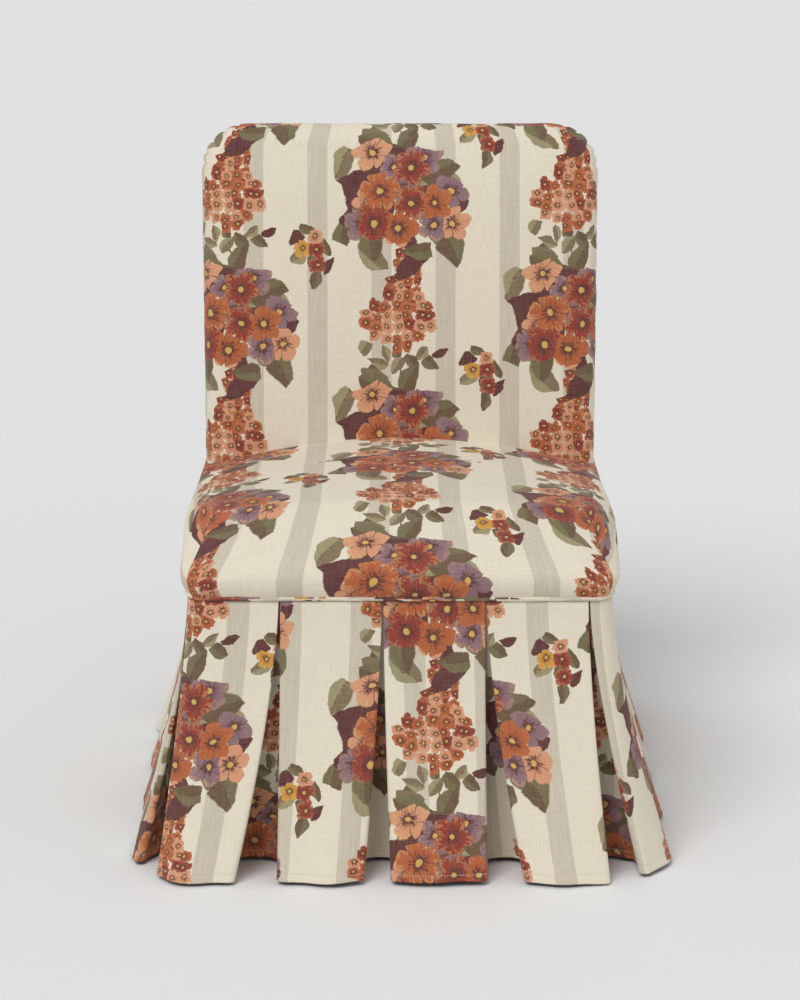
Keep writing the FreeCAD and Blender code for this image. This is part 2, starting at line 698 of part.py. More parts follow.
def skirt_outline(share, flare):
    """A point on the skirt's plan outline and the way inward, by share of its length from the
    front's middle towards +X."""
    half_x = SEAT_WIDTH / 2 + SKIRT_FLARE * flare
    half_y = SEAT_DEPTH / 2 + SKIRT_FLARE * flare
    radius = SEAT_CORNER + (SKIRT_HEM_CORNER - SEAT_CORNER) * flare
    runs = [half_x - radius, half_y - radius, half_x - radius, half_y - radius]
    arc = math.pi * radius / 2
    left = (share % 1.0) * (2 * sum(runs) + 4 * arc)
    place = Vector(0, -half_y, 0)
    heading = 0.0
    pieces = [(runs[0], False), (arc, True), (2 * runs[1], False), (arc, True),
              (2 * runs[2], False), (arc, True), (2 * runs[3], False), (arc, True),
              (runs[0], False)]
    for length, curved in pieces:
        step = min(left, length)
        ahead = Vector(math.cos(heading), math.sin(heading), 0)
        inward = Vector(-ahead.y, ahead.x, 0)
        if curved:
            angle = step / radius
            place = place + ahead * (radius * math.sin(angle)) + inward * (radius * (1 - math.cos(angle)))
            heading += angle
        else:
            place = place + ahead * step
        left -= step
        if left <= 0:
            break
    return place, Vector(-math.sin(heading), math.cos(heading), 0)


def skirt_length(flare):
    half_x = SEAT_WIDTH / 2 + SKIRT_FLARE * flare
    half_y = SEAT_DEPTH / 2 + SKIRT_FLARE * flare
    radius = SEAT_CORNER + (SKIRT_HEM_CORNER - SEAT_CORNER) * flare
    return 4 * (half_x + half_y) - (8 - 2 * math.pi) * radius


def pleat_share(number):
    """Where a pleat's middle lies on the outline, counted from the one left of the front's middle."""
    return PLEAT_SHIFT / skirt_length(0.0) + number / PLEATS


def grown(top, hem, flare):
    return top + (hem - top) * flare


def pleat_half(flare, fine):
    """From a pleat's middle to its mouth: offset along the outline, depth, and if it is inside."""
    mouth = grown(PLEAT_MOUTH_TOP, PLEAT_MOUTH_HEM, flare)
    under = grown(PLEAT_MOUTH_TOP, PLEAT_UNDER_HEM, flare)
    depth = grown(PLEAT_DEPTH_TOP, PLEAT_DEPTH_HEM, flare)
    roll = grown(PLEAT_ROLL_TOP, PLEAT_ROLL_HEM, flare)
    sag = PLEAT_SAG_HEM * flare
    eased = roll * (1 - math.sqrt(0.5))
    bend = [(mouth + eased, eased, False)] if fine else []
    halfway = (under * UNDERLAY_SHARE, depth + sag * UNDERLAY_SAG, True)
    return [(0.0, depth + sag, True), halfway, (under, depth, True),
            (mouth, roll, False)] + bend + [(mouth + roll, 0.0, False)]


def skirt_row(first, last, flare, fine):
    """One level of the skirt between the middles of two pleats, as points on the cloth's face."""
    total = skirt_length(flare)
    half = pleat_half(flare, fine)
    belly = PANEL_BELLY_HEM * flare
    points = []

    def on_outline(number, along, depth):
        place, inward = skirt_outline(pleat_share(number) + along / total, flare)
        return place + inward * depth

    def in_pleat(number, along, depth):
        place, inward = skirt_outline(pleat_share(number), flare)
        return place + Vector(inward.y, -inward.x, 0) * along + inward * depth

    for number in range(first, last):
        for along, depth, inside in half:
            points.append((in_pleat if inside else on_outline)(number, along, depth))
        start = half[-1][0]
        run = total / PLEATS - 2 * start
        for share in (PANEL_SHARES if fine else PANEL_SHARES[1:2]):
            points.append(on_outline(number, start + share * run, -belly * math.sin(math.pi * share)))
        for along, depth, inside in half[:0:-1]:
            points.append((in_pleat if inside else on_outline)(number + 1, -along, depth))
    points.append(in_pleat(last, 0.0, half[0][1]))
    return points


def offset_row(points, distance):
    """The row moved sideways into the chair, mitred at its corners."""
    moved = []
    for i, here in enumerate(points):
        back = (here - points[max(i - 1, 0)])
        ahead = (points[min(i + 1, len(points) - 1)] - here)
        back = ahead if back.Length < SEW_TOLERANCE else back
        ahead = back if ahead.Length < SEW_TOLERANCE else ahead
        first = Vector(-back.y, back.x, 0).normalize()
        second = Vector(-ahead.y, ahead.x, 0).normalize()
        middle = first + second
        moved.append(here + middle * (2 * distance / middle.dot(middle)))
    return moved


def cloth_length(first, last, near, far, levels, trim):
    """A solid of pleated cloth between two pleats, from one depth behind its face to another."""
    rows = []
    for share in levels:
        row = skirt_row_at(first, last, share, near == 0)
        outer = offset_row(row, near) if near else row
        inner = offset_row(row, far)
        lift = Vector(0, 0, SKIRT_TOP_Z + (HEM_GAP - SKIRT_TOP_Z) * share)
        rows.append([[p + lift for p in trimmed(side, trim)] for side in (outer, inner)])
    count = len(rows[0][0])
    points = [p for outer, inner in rows for p in outer + inner]
    triangles = []
    for level in range(len(rows) - 1):
        here = 2 * level * count
        below = here + 2 * count
        triangles += band(below, here, count, False) + band(here + count, below + count, count, False)
        for end in (0, count - 1):
            quad = [here + end, below + end, below + count + end, here + count + end]
            quad = quad if end else quad[::-1]
            triangles += [(quad[0], quad[1], quad[2]), (quad[0], quad[2], quad[3])]
    last_row = 2 * (len(rows) - 1) * count
    triangles += band(0, count, count, False) + band(last_row + count, last_row, count, False)
    return sewn(points, triangles)


def skirt_row_at(first, last, share, fine):
    """The row at any share of the drop, straight between the levels that the skirt is cut at."""
    for low, high in zip(SKIRT_LEVELS, SKIRT_LEVELS[1:]):
        if share <= high:
            break
    blend = (share - low) / (high - low)
    above = skirt_row(first, last, low ** FLARE_POWER, fine)
    below = skirt_row(first, last, high ** FLARE_POWER, fine)
    return [a + (b - a) * blend for a, b in zip(above, below)]


def trimmed(points, trim):
    """The row with both ends drawn in a little, so that neighbouring lengths only meet."""
    start = points[0] + (points[1] - points[0]).normalize() * trim
    end = points[-1] + (points[-2] - points[-1]).normalize() * trim
    return [start] + points[1:-1] + [end]


def skirt_lengths(near, far, levels):
    lengths = []
    first = -SIDE_PLEATS[0] // 2
    for count in SIDE_PLEATS:
        lengths.append(cloth_length(first, first + count, near, far, levels, LAYER_GAP / 2))
        first += count
    return lengths


def tack_strip():
    """The card strip that holds the skirt's top edge against the rails, under the welt."""
    def plate(inset):
        return flat_plate(SEAT_WIDTH / 2 - inset, -SEAT_DEPTH / 2 + inset, SEAT_DEPTH / 2 - inset,
                          SEAT_CORNER - inset, SKIRT_TOP_Z - TACK_STRIP_HEIGHT, SKIRT_TOP_Z)
    return plate(CORE_INSET - TACK_STRIP).cut(plate(CORE_INSET))


def dust_cover(posts, bolts):
    half_x = RAIL_HALF_X - DUST_COVER_MARGIN
    half_y = RAIL_HALF_Y - DUST_COVER_MARGIN
    sheet = flat_plate(half_x, -half_y, half_y, DUST_COVER_MARGIN,
                       RAIL_BOTTOM - DUST_COVER, RAIL_BOTTOM)
    return sheet.cut(posts).cut(bolts)


# Places that several pieces share
BOARD_DEPTH = CORE_INSET
FRAME_DEPTH = BACK_PAD + WADDING_INNER + BURLAP + 2 * STRAP_THICKNESS + LAYER_GAP
POST_INNER_X = RAIL_HALF_X - POST_THICKNESS
POST_FRONT_Y = on_front(0, (RAIL_TOP - BACK_FOOT.z) / math.cos(RECLINE), FRAME_DEPTH).y
CREST_INSET = CORE_INSET + BACK_TOP_PAD
POST_TOP_RISE = BACK_RISE - CREST_INSET - CREST_HEIGHT
LEG_AXIS = (RAIL_HALF_X - LEG_CORNER_OFFSET - LEG_TOP / 2,
            -RAIL_HALF_Y + LEG_CORNER_OFFSET + LEG_TOP / 2)


def main():
    post = back_post()
    posts = mirrored_pair(post)
    front, left, right, back = rails()
    crest = crest_rail()
    lower = lower_rail()
    blocks = corner_blocks(posts)
    peg_holes = joined(dowels(JOINERY_GAP))
    bolt_holes = mirrored_pair(leg_bolt(JOINERY_GAP))
    leg = front_leg().cut(leg_bolt(JOINERY_GAP))
    plate = leg_plate().cut(leg_bolt(JOINERY_GAP))

    write("front_seat_rail", front.cut(peg_holes))
    write("left_seat_rail", left.cut(peg_holes))
    write("right_seat_rail", right.cut(peg_holes))
    write("back_seat_rail", back.cut(peg_holes))
    write("left_back_post", post.mirror(Vector(), Vector(1, 0, 0)).cut(peg_holes))
    write("right_back_post", post.cut(peg_holes))
    write("crest_rail", crest.cut(peg_holes))
    write("lower_back_rail", lower.cut(peg_holes))
    write("corner_blocks", joined([b.cut(bolt_holes) for b in blocks]))
    write("left_front_leg", leg.mirror(Vector(), Vector(1, 0, 0)))
    write("right_front_leg", leg)
    write("leg_plates", mirrored_pair(plate))
    write("leg_bolts", mirrored_pair(leg_bolt(0.0)))
    write("floor_glides", joined(glides()))
    write("frame_dowels", joined(dowels(0.0)))

    straps, cross_straps = seat_webbing()
    write("seat_webbing", joined(straps))
    write("seat_cross_webbing", joined(cross_straps))
    straps, cross_straps = back_webbing()
    write("back_webbing", joined(straps))
    write("back_cross_webbing", joined(cross_straps))

    for name, shape in zip(("seat_burlap", "seat_foam", "seat_wadding", "seat_cover"),
                           seat_layers(posts)):
        write(name, shape)
    names = ("back_burlap", "back_foam", "back_border_padding", "back_wadding",
             "outside_back_board", "outside_back_wadding", "inside_back_cover",
             "outside_back_cover")
    seat_clear = seat_form(-LAYER_GAP, 0)
    for name, shape in zip(names, back_layers(seat_clear, joined([posts, crest, lower]))):
        write(name, shape)

    write("welt_cord", welt_tube(WELT_CORD_DIAMETER))
    write("welt_cover", welt_tube(WELT_DIAMETER, WELT_CORD_DIAMETER + 2 * JOINERY_GAP))
    write("skirt_tack_strip", tack_strip())
    write("dust_cover", dust_cover(posts, bolt_holes))

    sides = ("front", "right", "back", "left")
    for side, shape in zip(sides, skirt_lengths(0.0, SKIRT_CLOTH, SKIRT_LEVELS)):
        write("skirt_" + side, shape)
    lining_near = SKIRT_CLOTH + LAYER_GAP
    lining_levels = (LINING_DROP,) + SKIRT_LEVELS[1:]
    write("skirt_lining", joined(skirt_lengths(lining_near, lining_near + LINING_CLOTH, lining_levels)))


main()
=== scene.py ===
"""Slipper chair: the covers, welt, skirt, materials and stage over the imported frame, in metres.

X runs across the chair, the front faces -Y and +Z is up. Each cloth surface carries a UV map named
"cloth", in metres on the flat cloth, that the weave and the printed pattern follow.
"""

import json
import math

import bmesh
import bpy
import numpy as np
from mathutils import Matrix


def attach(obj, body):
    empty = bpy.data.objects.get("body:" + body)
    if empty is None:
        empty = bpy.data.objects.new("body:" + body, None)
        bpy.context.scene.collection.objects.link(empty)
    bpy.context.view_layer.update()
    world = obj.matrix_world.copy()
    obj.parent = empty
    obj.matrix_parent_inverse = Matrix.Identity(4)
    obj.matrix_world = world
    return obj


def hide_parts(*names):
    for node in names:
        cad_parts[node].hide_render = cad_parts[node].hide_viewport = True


bl_info = {
    "name": "Slipper Chair",
    "version": (1, 0, 0),
    "blender": (4, 5, 0),
    "location": "View3D > Sidebar > Slipper Chair",
    "description": "Upholstered slipper chair with a pleated skirt",
    "category": "Add Mesh",
}

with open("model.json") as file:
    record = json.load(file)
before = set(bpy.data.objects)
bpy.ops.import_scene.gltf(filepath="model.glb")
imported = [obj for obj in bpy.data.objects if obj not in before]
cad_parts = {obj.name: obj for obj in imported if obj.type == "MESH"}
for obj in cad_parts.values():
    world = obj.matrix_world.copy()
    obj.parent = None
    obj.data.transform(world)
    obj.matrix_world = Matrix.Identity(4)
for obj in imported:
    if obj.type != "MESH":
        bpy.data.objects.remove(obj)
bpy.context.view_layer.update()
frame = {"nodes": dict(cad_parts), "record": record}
BODY = "root"
MM = 0.001
JOIN_DISTANCE = 1e-6


def colour(red, green, blue):
    """A colour as it is seen on a screen, from 0 to 255, as linear light."""
    shares = np.array([red, green, blue], float) / 255.0
    light = np.where(shares <= 0.04045, shares / 12.92, ((shares + 0.055) / 1.055) ** 2.4)
    return tuple(float(x) for x in light) + (1.0,)


# Settings

def length(name, text, default):
    """A property in metres."""
    return bpy.props.FloatProperty(name=name, description=text, default=default, unit="LENGTH", precision=4)


def factor(name, text, default):
    """A property from 0 to 1."""
    return bpy.props.FloatProperty(name=name, description=text, default=default, subtype="FACTOR",
                                   min=0.0, max=1.0)


def angle(name, text, default):
    """A property that is given in degrees and kept in radians."""
    return bpy.props.FloatProperty(name=name, description=text, default=math.radians(default),
                                   subtype="ANGLE")


def tint(name, text, default):
    """A colour property, given as it is seen on a screen."""
    return bpy.props.FloatVectorProperty(name=name, description=text, default=colour(*default), size=4,
                                         min=0.0, max=1.0, subtype="COLOR")


class ChairSeatSizes(bpy.types.PropertyGroup):
    """Sizes of the seat, outside its cover"""
    width: length("Width", "Across the seat at the welt", 0.542)
    depth: length("Depth", "Front to back at the welt", 0.597)
    welt: length("Welt height", "Middle of the welt above the floor", 0.360)
    corner: length("Corner", "Radius of the seat's corners in plan", 0.030)
    swell: length("Swell", "How far the sides stand past the welt", 0.009)
    rise: length("Swell rise", "Height over which the sides swell", 0.060)
    shoulder: length("Shoulder", "Width of the roll from the side to the top", 0.040)
    front_roll: length("Front roll", "Depth of the roll from the front to the top", 0.150)
    crown: length("Crown", "Rise from the swell to the top's middle", 0.041)
    side_fall: length("Side fall", "How far the crown falls to the sides", 0.024)
    rear_fall: length("Rear fall", "How much more it falls there at the rear", 0.018)
    front_fall: length("Front fall", "How far the crown falls to the front", 0.016)
    rear_sink: length("Rear sink", "How far the crown falls to the back's foot", 0.006)
    rear_drop: factor("Rear drop", "Share of its height that the swell loses at the rear", 0.28)
    front_drop: factor("Front drop", "Share of its height that the swell loses at the front", 0.62)
    pitch: angle("Pitch", "How far the top falls to the rear", 2.0)
    cord: length("Welt diameter", "Across the covered cord", 0.007)
    dust_inset: length("Dust cover inset", "Dust cover's edge inside the seat's sides", 0.0221)
    dust_height: length("Dust cover height", "Dust cover above the floor", 0.2945)
    dust_sag: length("Dust cover sag", "How far the dust cover hangs down in its middle", 0.004)


class ChairBackSizes(bpy.types.PropertyGroup):
    """Sizes of the back, outside its cover"""
    foot_lift: length("Foot lift", "Where the inside back is measured, above the seat's swell", 0.028)
    inside_depth: length("Inside seat depth", "From the seat's front to the back", 0.480)
    recline: angle("Recline", "Lean of the inside back", 11.0)
    foot: length("Foot width", "Across the back at the seat", 0.554)
    top: length("Top width", "Across the back at the top", 0.562)
    height: length("Height", "Floor to the top of the back", 0.876)
    thickness: length("Top thickness", "Front to rear at the top", 0.108)
    corner: length("Corner", "Radius of the top corners", 0.070)
    front_roll: length("Front roll", "Depth of the rounded front edge", 0.037)
    side_roll: length("Side roll", "Width of the rounded front edge at the sides", 0.020)
    rear_roll: length("Rear roll", "Radius of the rear edge", 0.014)
    crown: length("Crown", "How far the middle stands forward", 0.012)


class ChairSkirtSizes(bpy.types.PropertyGroup):
    """Sizes of the pleated skirt"""
    flare: length("Flare", "How far the hem stands past the welt", 0.077)
    hem_corner: length("Hem corner", "Radius of the hem's corners in plan", 0.100)
    gap: length("Hem gap", "Hem above the floor", 0.006)
    shift: length("Pleat shift", "First pleat from the front's middle", -0.022)
    pleats: bpy.props.IntProperty(name="Pleats", description="Box pleats round the chair", default=17)
    cloth: length("Cloth in a pleat", "Cloth from one panel's middle to the next", 0.335)
    mouth: length("Mouth", "Half the opening of a pleat at the hem", 0.024)
    tuck: length("Return", "Depth of the fold at the hem", 0.056)


class ChairLook(bpy.types.PropertyGroup):
    """Colours of the cloth and the stage"""
    ground: tint("Ground", "Cream ground of the cloth", (233, 224, 203))
    stripe: tint("Stripe", "Soft stripe down the cloth", (203, 193, 174))
    plum: tint("Plum", "Darkest flowers", (92, 42, 46))
    brick: tint("Brick", "Red flowers", (146, 48, 34))
    rust: tint("Rust", "Orange flowers", (180, 92, 48))
    salmon: tint("Salmon", "Pale flowers", (216, 152, 116))
    gold: tint("Gold", "Yellow flowers", (208, 152, 56))
    mauve: tint("Mauve", "Lilac flowers", (138, 106, 116))
    olive: tint("Olive", "Leaves", (116, 108, 74))
    sage: tint("Sage", "Pale leaves", (158, 150, 112))
    line: tint("Line", "Dark line work", (90, 42, 38))
    stripe_width: length("Stripe width", "Across one stripe", 0.028)
    stripe_pitch: length("Stripe pitch", "From one stripe to the next", 0.090)
    stripe_shift: length("Stripe shift", "First stripe from the middle", 0.026)
    hem_seam: length("Hem seam", "Height of the hem's stitches above the floor", 0.0155)
    stitch: length("Stitch", "One stitch of the hem's seam", 0.004)
    floor: tint("Floor", "Floor and backdrop", (235, 235, 235))


def settings():
    """The scene's sizes of seat, back and skirt, and its colours."""
    scene = bpy.context.scene
    return scene.chair_seat, scene.chair_back, scene.chair_skirt, scene.chair_look


# Meshes

def smooth(x):
    """0 below 0, 1 above 1 and an even S between them."""
    x = np.clip(x, 0.0, 1.0)
    return x * x * (3.0 - 2.0 * x)


def ramp(x, start, run):
    """0 up to the start, 1 from a run past it and an even S between them."""
    return smooth((x - start) / run)


def surface(name, grid, cloth, columns=None, pole=False, inward=False):
    """A mesh from a grid of points, rows by columns, with a UV for each point.

    columns says which vertex column each grid column uses, so that a column met twice, as at a seam of
    the pattern or where a ring closes, is one column of vertices with two UVs. pole closes the last row
    of a surface that isn't turned over into one vertex. inward turns the faces over.
    """
    rows, count = grid.shape[:2]
    columns = np.arange(count) if columns is None else np.asarray(columns)
    first = np.array([int(np.flatnonzero(columns == c)[0]) for c in range(columns.max() + 1)])
    vertices = grid[:, first].reshape(-1, 3)
    width = len(first)
    index = np.arange(rows)[:, None] * width + columns[None, :]
    if pole:
        index[-1, :] = (rows - 1) * width
        vertices = vertices[:(rows - 1) * width + 1]
    corners = [(slice(None, -1), slice(None, -1)), (slice(None, -1), slice(1, None)),
               (slice(1, None), slice(1, None)), (slice(1, None), slice(None, -1))]
    if inward:
        corners = corners[::-1]
    quads = np.stack([index[c] for c in corners], axis=-1).reshape(-1, 4)
    marks = np.stack([cloth[c] for c in corners], axis=-2).reshape(-1, 4, 2)
    mesh = bpy.data.meshes.new(name)
    if pole:
        split = (rows - 2) * (count - 1)
        faces = quads[:split].tolist() + quads[split:, :3].tolist()
        marks = np.concatenate([marks[:split].reshape(-1, 2), marks[split:, :3].reshape(-1, 2)])
    else:
        faces = quads.tolist()
        marks = marks.reshape(-1, 2)
    mesh.from_pydata(vertices.tolist(), [], faces)
    layer = mesh.uv_layers.new(name="cloth")
    layer.data.foreach_set("uv", np.ascontiguousarray(marks, dtype=np.float32).ravel())
    mesh.polygons.foreach_set("use_smooth", np.ones(len(mesh.polygons), bool))
    merged = bmesh.new()
    merged.from_mesh(mesh)
    bmesh.ops.remove_doubles(merged, verts=merged.verts, dist=JOIN_DISTANCE)
    merged.to_mesh(mesh)
    merged.free()
    piece = bpy.data.objects.new(name, mesh)
    bpy.context.collection.objects.link(piece)
    return piece


def thicken(piece, thickness):
    """A cloth's thickness, to the inner side of its surface."""
    wall = piece.modifiers.new("thickness", "SOLIDIFY")
    wall.thickness = thickness
    wall.offset = -1.0
    wall.use_rim = True


def finish_piece(piece, material, slot, *nodes):
    """Gives the piece its material and puts it in place of its CAD nodes; slot is not used."""
    piece.data.materials.append(material)
    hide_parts(*nodes)
    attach(piece, BODY)


def arc_lengths(*coordinates):
    """Running length along a row of points, starting at nought."""
    steps = sum(np.diff(c) ** 2 for c in coordinates) ** 0.5
    return np.concatenate([[0.0], np.cumsum(steps)])


# Seat

CORNER_STEPS = np.radians([0.0, 0.8, 2.5, 6.0, 11.0, 17.0, 25.0, 34.0, 45.0])


def plan_rings(half_x, front, rear, radius, runs):
    """Rounded rectangles in plan, as four sectors that each run between two corner middles.

    Each sector is half a corner's arc, a straight run and half the next arc. The sizes are arrays with
    one value a ring; runs is the steps in the front, right, rear and left runs. Gives x, y, the way
    outward and, for each column, its vertex column, its sector and its angle from the corner's middle.
    """
    centres = [(-1, -1), (1, -1), (1, 1), (-1, 1)]
    xs, ys, outs, ids, sectors, turns = [], [], [], [], [], []
    half_x, front, rear, radius = (np.atleast_1d(v)[:, None] for v in (half_x, front, rear, radius))
    used = 0
    for sector in range(4):
        heading = math.radians(-90.0 + 90.0 * sector)
        for side, (cx, cy) in enumerate((centres[sector], centres[(sector + 1) % 4])):
            middle_x = cx * (half_x - radius)
            middle_y = np.where(cy < 0, front + radius, rear - radius)
            turn = CORNER_STEPS if side == 0 else -CORNER_STEPS[::-1]
            around = heading + turn - math.copysign(math.pi / 4, turn[len(turn) // 2])
            px, py = middle_x + radius * np.cos(around), middle_y + radius * np.sin(around)
            out = np.stack([np.cos(around), np.sin(around)], -1) + np.zeros(px.shape + (2,))
            if side == 1:
                share = np.linspace(0.0, 1.0, runs[sector] + 1)[1:-1]
                flat = np.array([math.cos(heading), math.sin(heading)]) + np.zeros((len(px), len(share), 2))
                xs.append(xs[-1][:, -1:] * (1 - share) + px[:, :1] * share)
                ys.append(ys[-1][:, -1:] * (1 - share) + py[:, :1] * share)
                outs.append(flat)
                turns.append(np.full(len(share), math.pi / 4))
            xs.append(px)
            ys.append(py)
            outs.append(out)
            turns.append(turn)
        count = 2 * len(CORNER_STEPS) + runs[sector] - 1
        ids.append(used + np.arange(count))
        sectors.append(np.full(count, sector))
        used += count - 1
    ids = np.concatenate(ids)
    ids[-1] = 0
    return (np.concatenate(xs, 1), np.concatenate(ys, 1), np.concatenate(outs, 1), ids,
            np.concatenate(sectors), np.concatenate(turns))


# Where the seat changes along its depth: starts and runs from its middle, the front's turned round
REAR_FALL_RUN = (-0.25, 0.43)
REAR_SINK_RUN = (0.02, 0.20)
REAR_DROP_RUN = (-0.15, 0.33)
FRONT_DROP_RUN = (0.16, 0.13)
CROWN_LINE = -0.04

# The rings of the seat: levels in its swell, roll and crown, the roll's last turn in degrees, steps in
# the front, right, rear and left runs of seat and welt, how the corners open up on the way to the crown,
# the gap to the back and the padding's depth under a cover
SWELL_LEVELS = 18
ROLL_LEVELS = 20
CROWN_LEVELS = 30
SWELL_FOOT = 0.03
ROLL_TURN = 72.0
SEAT_STEPS = (84, 70, 40, 70)
WELT_STEPS = (120, 130, 120, 130)
CORNER_GROWTH = 0.014
CROWN_CORNER = 0.080
CORNER_LIMIT = 0.98
BACK_GAP = 0.0045
PADDING_INSET = 0.006


def seat_crown(seat, x, y):
    """Height of the seat's top: its middle's height less a small sink at the rear and less the root of
    the sum of two squared falls.

    The fall across grows with x squared, and more to the rear; the fall to the front with the square
    of the way past the crown's line.
    """
    top = seat.welt + seat.rise + seat.crown
    across = (seat.side_fall + seat.rear_fall * ramp(y, *REAR_FALL_RUN)) * (x / (seat.width / 2)) ** 2
    ahead = seat.front_fall * (np.maximum(0.0, CROWN_LINE - y) / (seat.depth / 2 + CROWN_LINE)) ** 2
    behind = seat.rear_sink * ramp(y, *REAR_SINK_RUN)
    return top - behind - np.sqrt(across ** 2 + ahead ** 2)


RIPPLE_SINES = 6
RIPPLE_PEAK = 3.4


def ripple(x, y, seed, scale):
    """An even, endless wobble between -1 and 1: a sum of six sines of chance directions and phases."""
    chance = np.random.default_rng(seed)
    total = np.zeros(np.broadcast(x, y).shape)
    for _ in range(RIPPLE_SINES):
        way = chance.uniform(0, 2 * math.pi)
        rate = 2 * math.pi / scale * chance.uniform(0.6, 1.5)
        total += np.sin(rate * (x * math.cos(way) + y * math.sin(way)) + chance.uniform(0, 2 * math.pi))
    return total / RIPPLE_PEAK


def seat_creases(seat, sector, turns, cloth, z):
    """How far the seat's cover stands out of its even shape, point by point.

    At each front corner a fold stands out on the front's side of the mitre and sinks on the other,
    fading two thirds of the way up. Beside it the front is drawn in ripples, and there is a pucker
    along the welt and a faint wobble all over.
    """
    height = (z - seat.welt) / (seat.rise + seat.crown)
    fold = np.degrees(turns)
    ahead = sector == 0
    front_corner = ((ahead | ((sector == 1) & (turns >= 0) & (turns < 0.7))
                     | ((sector == 3) & (turns < 0))) & (np.abs(fold) < 44))
    step = np.where(ahead, 1.3 * np.exp(-(fold / 22.0) ** 2), -2.6 * np.exp(-(fold / 15.0) ** 2))
    fade = smooth((0.72 - height) / 0.45) * smooth(height / 0.10 + 0.5)
    push = MM * step * front_corner * fade
    pull = ramp(np.abs(cloth[..., 0]), 0.12, 0.13) * smooth((1.05 - height) / 0.6)
    push = push + MM * 0.5 * pull * ahead * ripple(cloth[..., 0] * 3.0, cloth[..., 1] * 0.35, 4, 0.070)
    near_welt = np.exp(-(z - seat.welt) / 0.014)
    push = push + MM * 0.55 * near_welt * ripple(cloth[..., 0], cloth[..., 1], 9, 0.030)
    return push + MM * 0.6 * ripple(cloth[..., 0], cloth[..., 1], 12, 0.110)


def seat_grid(seat, back, under=0.0):
    """The seat's cover: rings of the profile round the plan, falling to the rear by the pitch.

    The profile is a swell, whose top is lower at the rear and lowest at the front, an elliptical roll up
    to the crown and the crown itself; the roll is deep at the front, which makes it a dome. Height = the
    profile's height less y times the pitch's sine, which fades in from the level welt. The flat cloth is
    x and y on top; past the roll it runs on outward by the length of the profile, each side on its own,
    so the pattern is mitred at the corners. under sets the padding's surface this far inside the cover.
    """
    rise = np.linspace(SWELL_FOOT, 1.0, SWELL_LEVELS)
    turn = np.radians(np.linspace(0.0, ROLL_TURN, ROLL_LEVELS))[1:]
    share = np.linspace(0.0, 1.0, CROWN_LEVELS)[1:]
    edge = len(rise) + len(turn) - 1
    swell = seat.swell * (1 - (1 - rise) ** 2)

    def levels(half, roll):
        """Half a ring's size at each level: swell, roll and crown."""
        outer = np.concatenate([half + swell, half + seat.swell - roll * (1 - np.cos(turn))])
        return np.maximum(0.0, np.concatenate([outer, outer[-1] * (1 - share)]) - under)

    half_x = levels(seat.width / 2, seat.shoulder)
    front, back_end = levels(seat.depth / 2, seat.front_roll), levels(seat.depth / 2, seat.shoulder)
    swollen = seat.corner + seat.swell
    radius = np.concatenate([seat.corner + swell, swollen + CORNER_GROWTH * np.sin(turn),
                             swollen + CORNER_GROWTH + share * CROWN_CORNER])
    radius = np.minimum(radius, CORNER_LIMIT * half_x)
    x, y, outward, ids, sector, turns = plan_rings(half_x, -front, back_end, radius, SEAT_STEPS)
    swell_top = seat.rise * (1 - seat.rear_drop * ramp(y, *REAR_DROP_RUN)
                             - seat.front_drop * ramp(-y, *FRONT_DROP_RUN))
    crown = seat_crown(seat, x, y) - under
    z = crown.copy()
    count = len(rise)
    z[:count] = seat.welt + rise[:, None] * swell_top[:count]
    start, lift = seat.welt + swell_top[count:edge + 1], np.sin(turn)[:, None]
    z[count:edge + 1] = start + (crown[edge] - seat.welt - swell_top[edge]) * lift / lift[-1]
    rear = rear_plane(seat, back, z) - BACK_GAP - under
    y = np.minimum(y, rear)
    points = np.stack([x, y, z], -1)[:edge + 1]
    steps = np.linalg.norm(np.diff(points, axis=0), axis=-1)
    drop = np.zeros(z.shape)
    drop[:edge] = np.cumsum(steps[::-1], axis=0)[::-1]
    ways = np.array([(0, -1), (1, 0), (0, 1), (-1, 0)])[sector]
    cloth = np.stack([x, y], -1)
    cloth[:edge + 1] = cloth[edge] + ways * drop[:edge + 1, :, None]
    push = seat_creases(seat, sector, turns, cloth, z)
    above = (np.arange(len(z)) > edge)[:, None]
    x = x + outward[..., 0] * np.where(above, 0.0, push)
    y = y + outward[..., 1] * np.where(above, 0.0, push)
    pitched = smooth((z - seat.welt) / (1.2 * seat.rise))
    z = z + np.where(above, push, 0.0) - y * math.sin(seat.pitch) * pitched
    return np.stack([x, y, z], -1), cloth, ids


DUST_COLUMNS = 41
DUST_ROWS = 45


def dust_cover_grid(seat):
    """The dust cover: a flat rectangle that sags by the product of two parabolas across its width and
    depth, with a small ripple all over."""
    across, along = np.meshgrid(np.linspace(-1, 1, DUST_COLUMNS), np.linspace(-1, 1, DUST_ROWS))
    x, y = across * (seat.width / 2 - seat.dust_inset), along * (seat.depth / 2 - seat.dust_inset)
    sag = seat.dust_sag * (1 - across ** 2) * (1 - along ** 2) + MM * 0.3 * ripple(x, y, 21, 0.090)
    return np.stack([x, y, seat.dust_height - sag], -1), np.stack([x, y], -1)


def rear_plane(seat, back, z):
    """Where the outside back stands at a height: one plane from the welt to the top."""
    place = back_places(seat, back)
    return seat.depth / 2 + (z - seat.welt) * math.tan(place["rake"])


# Back

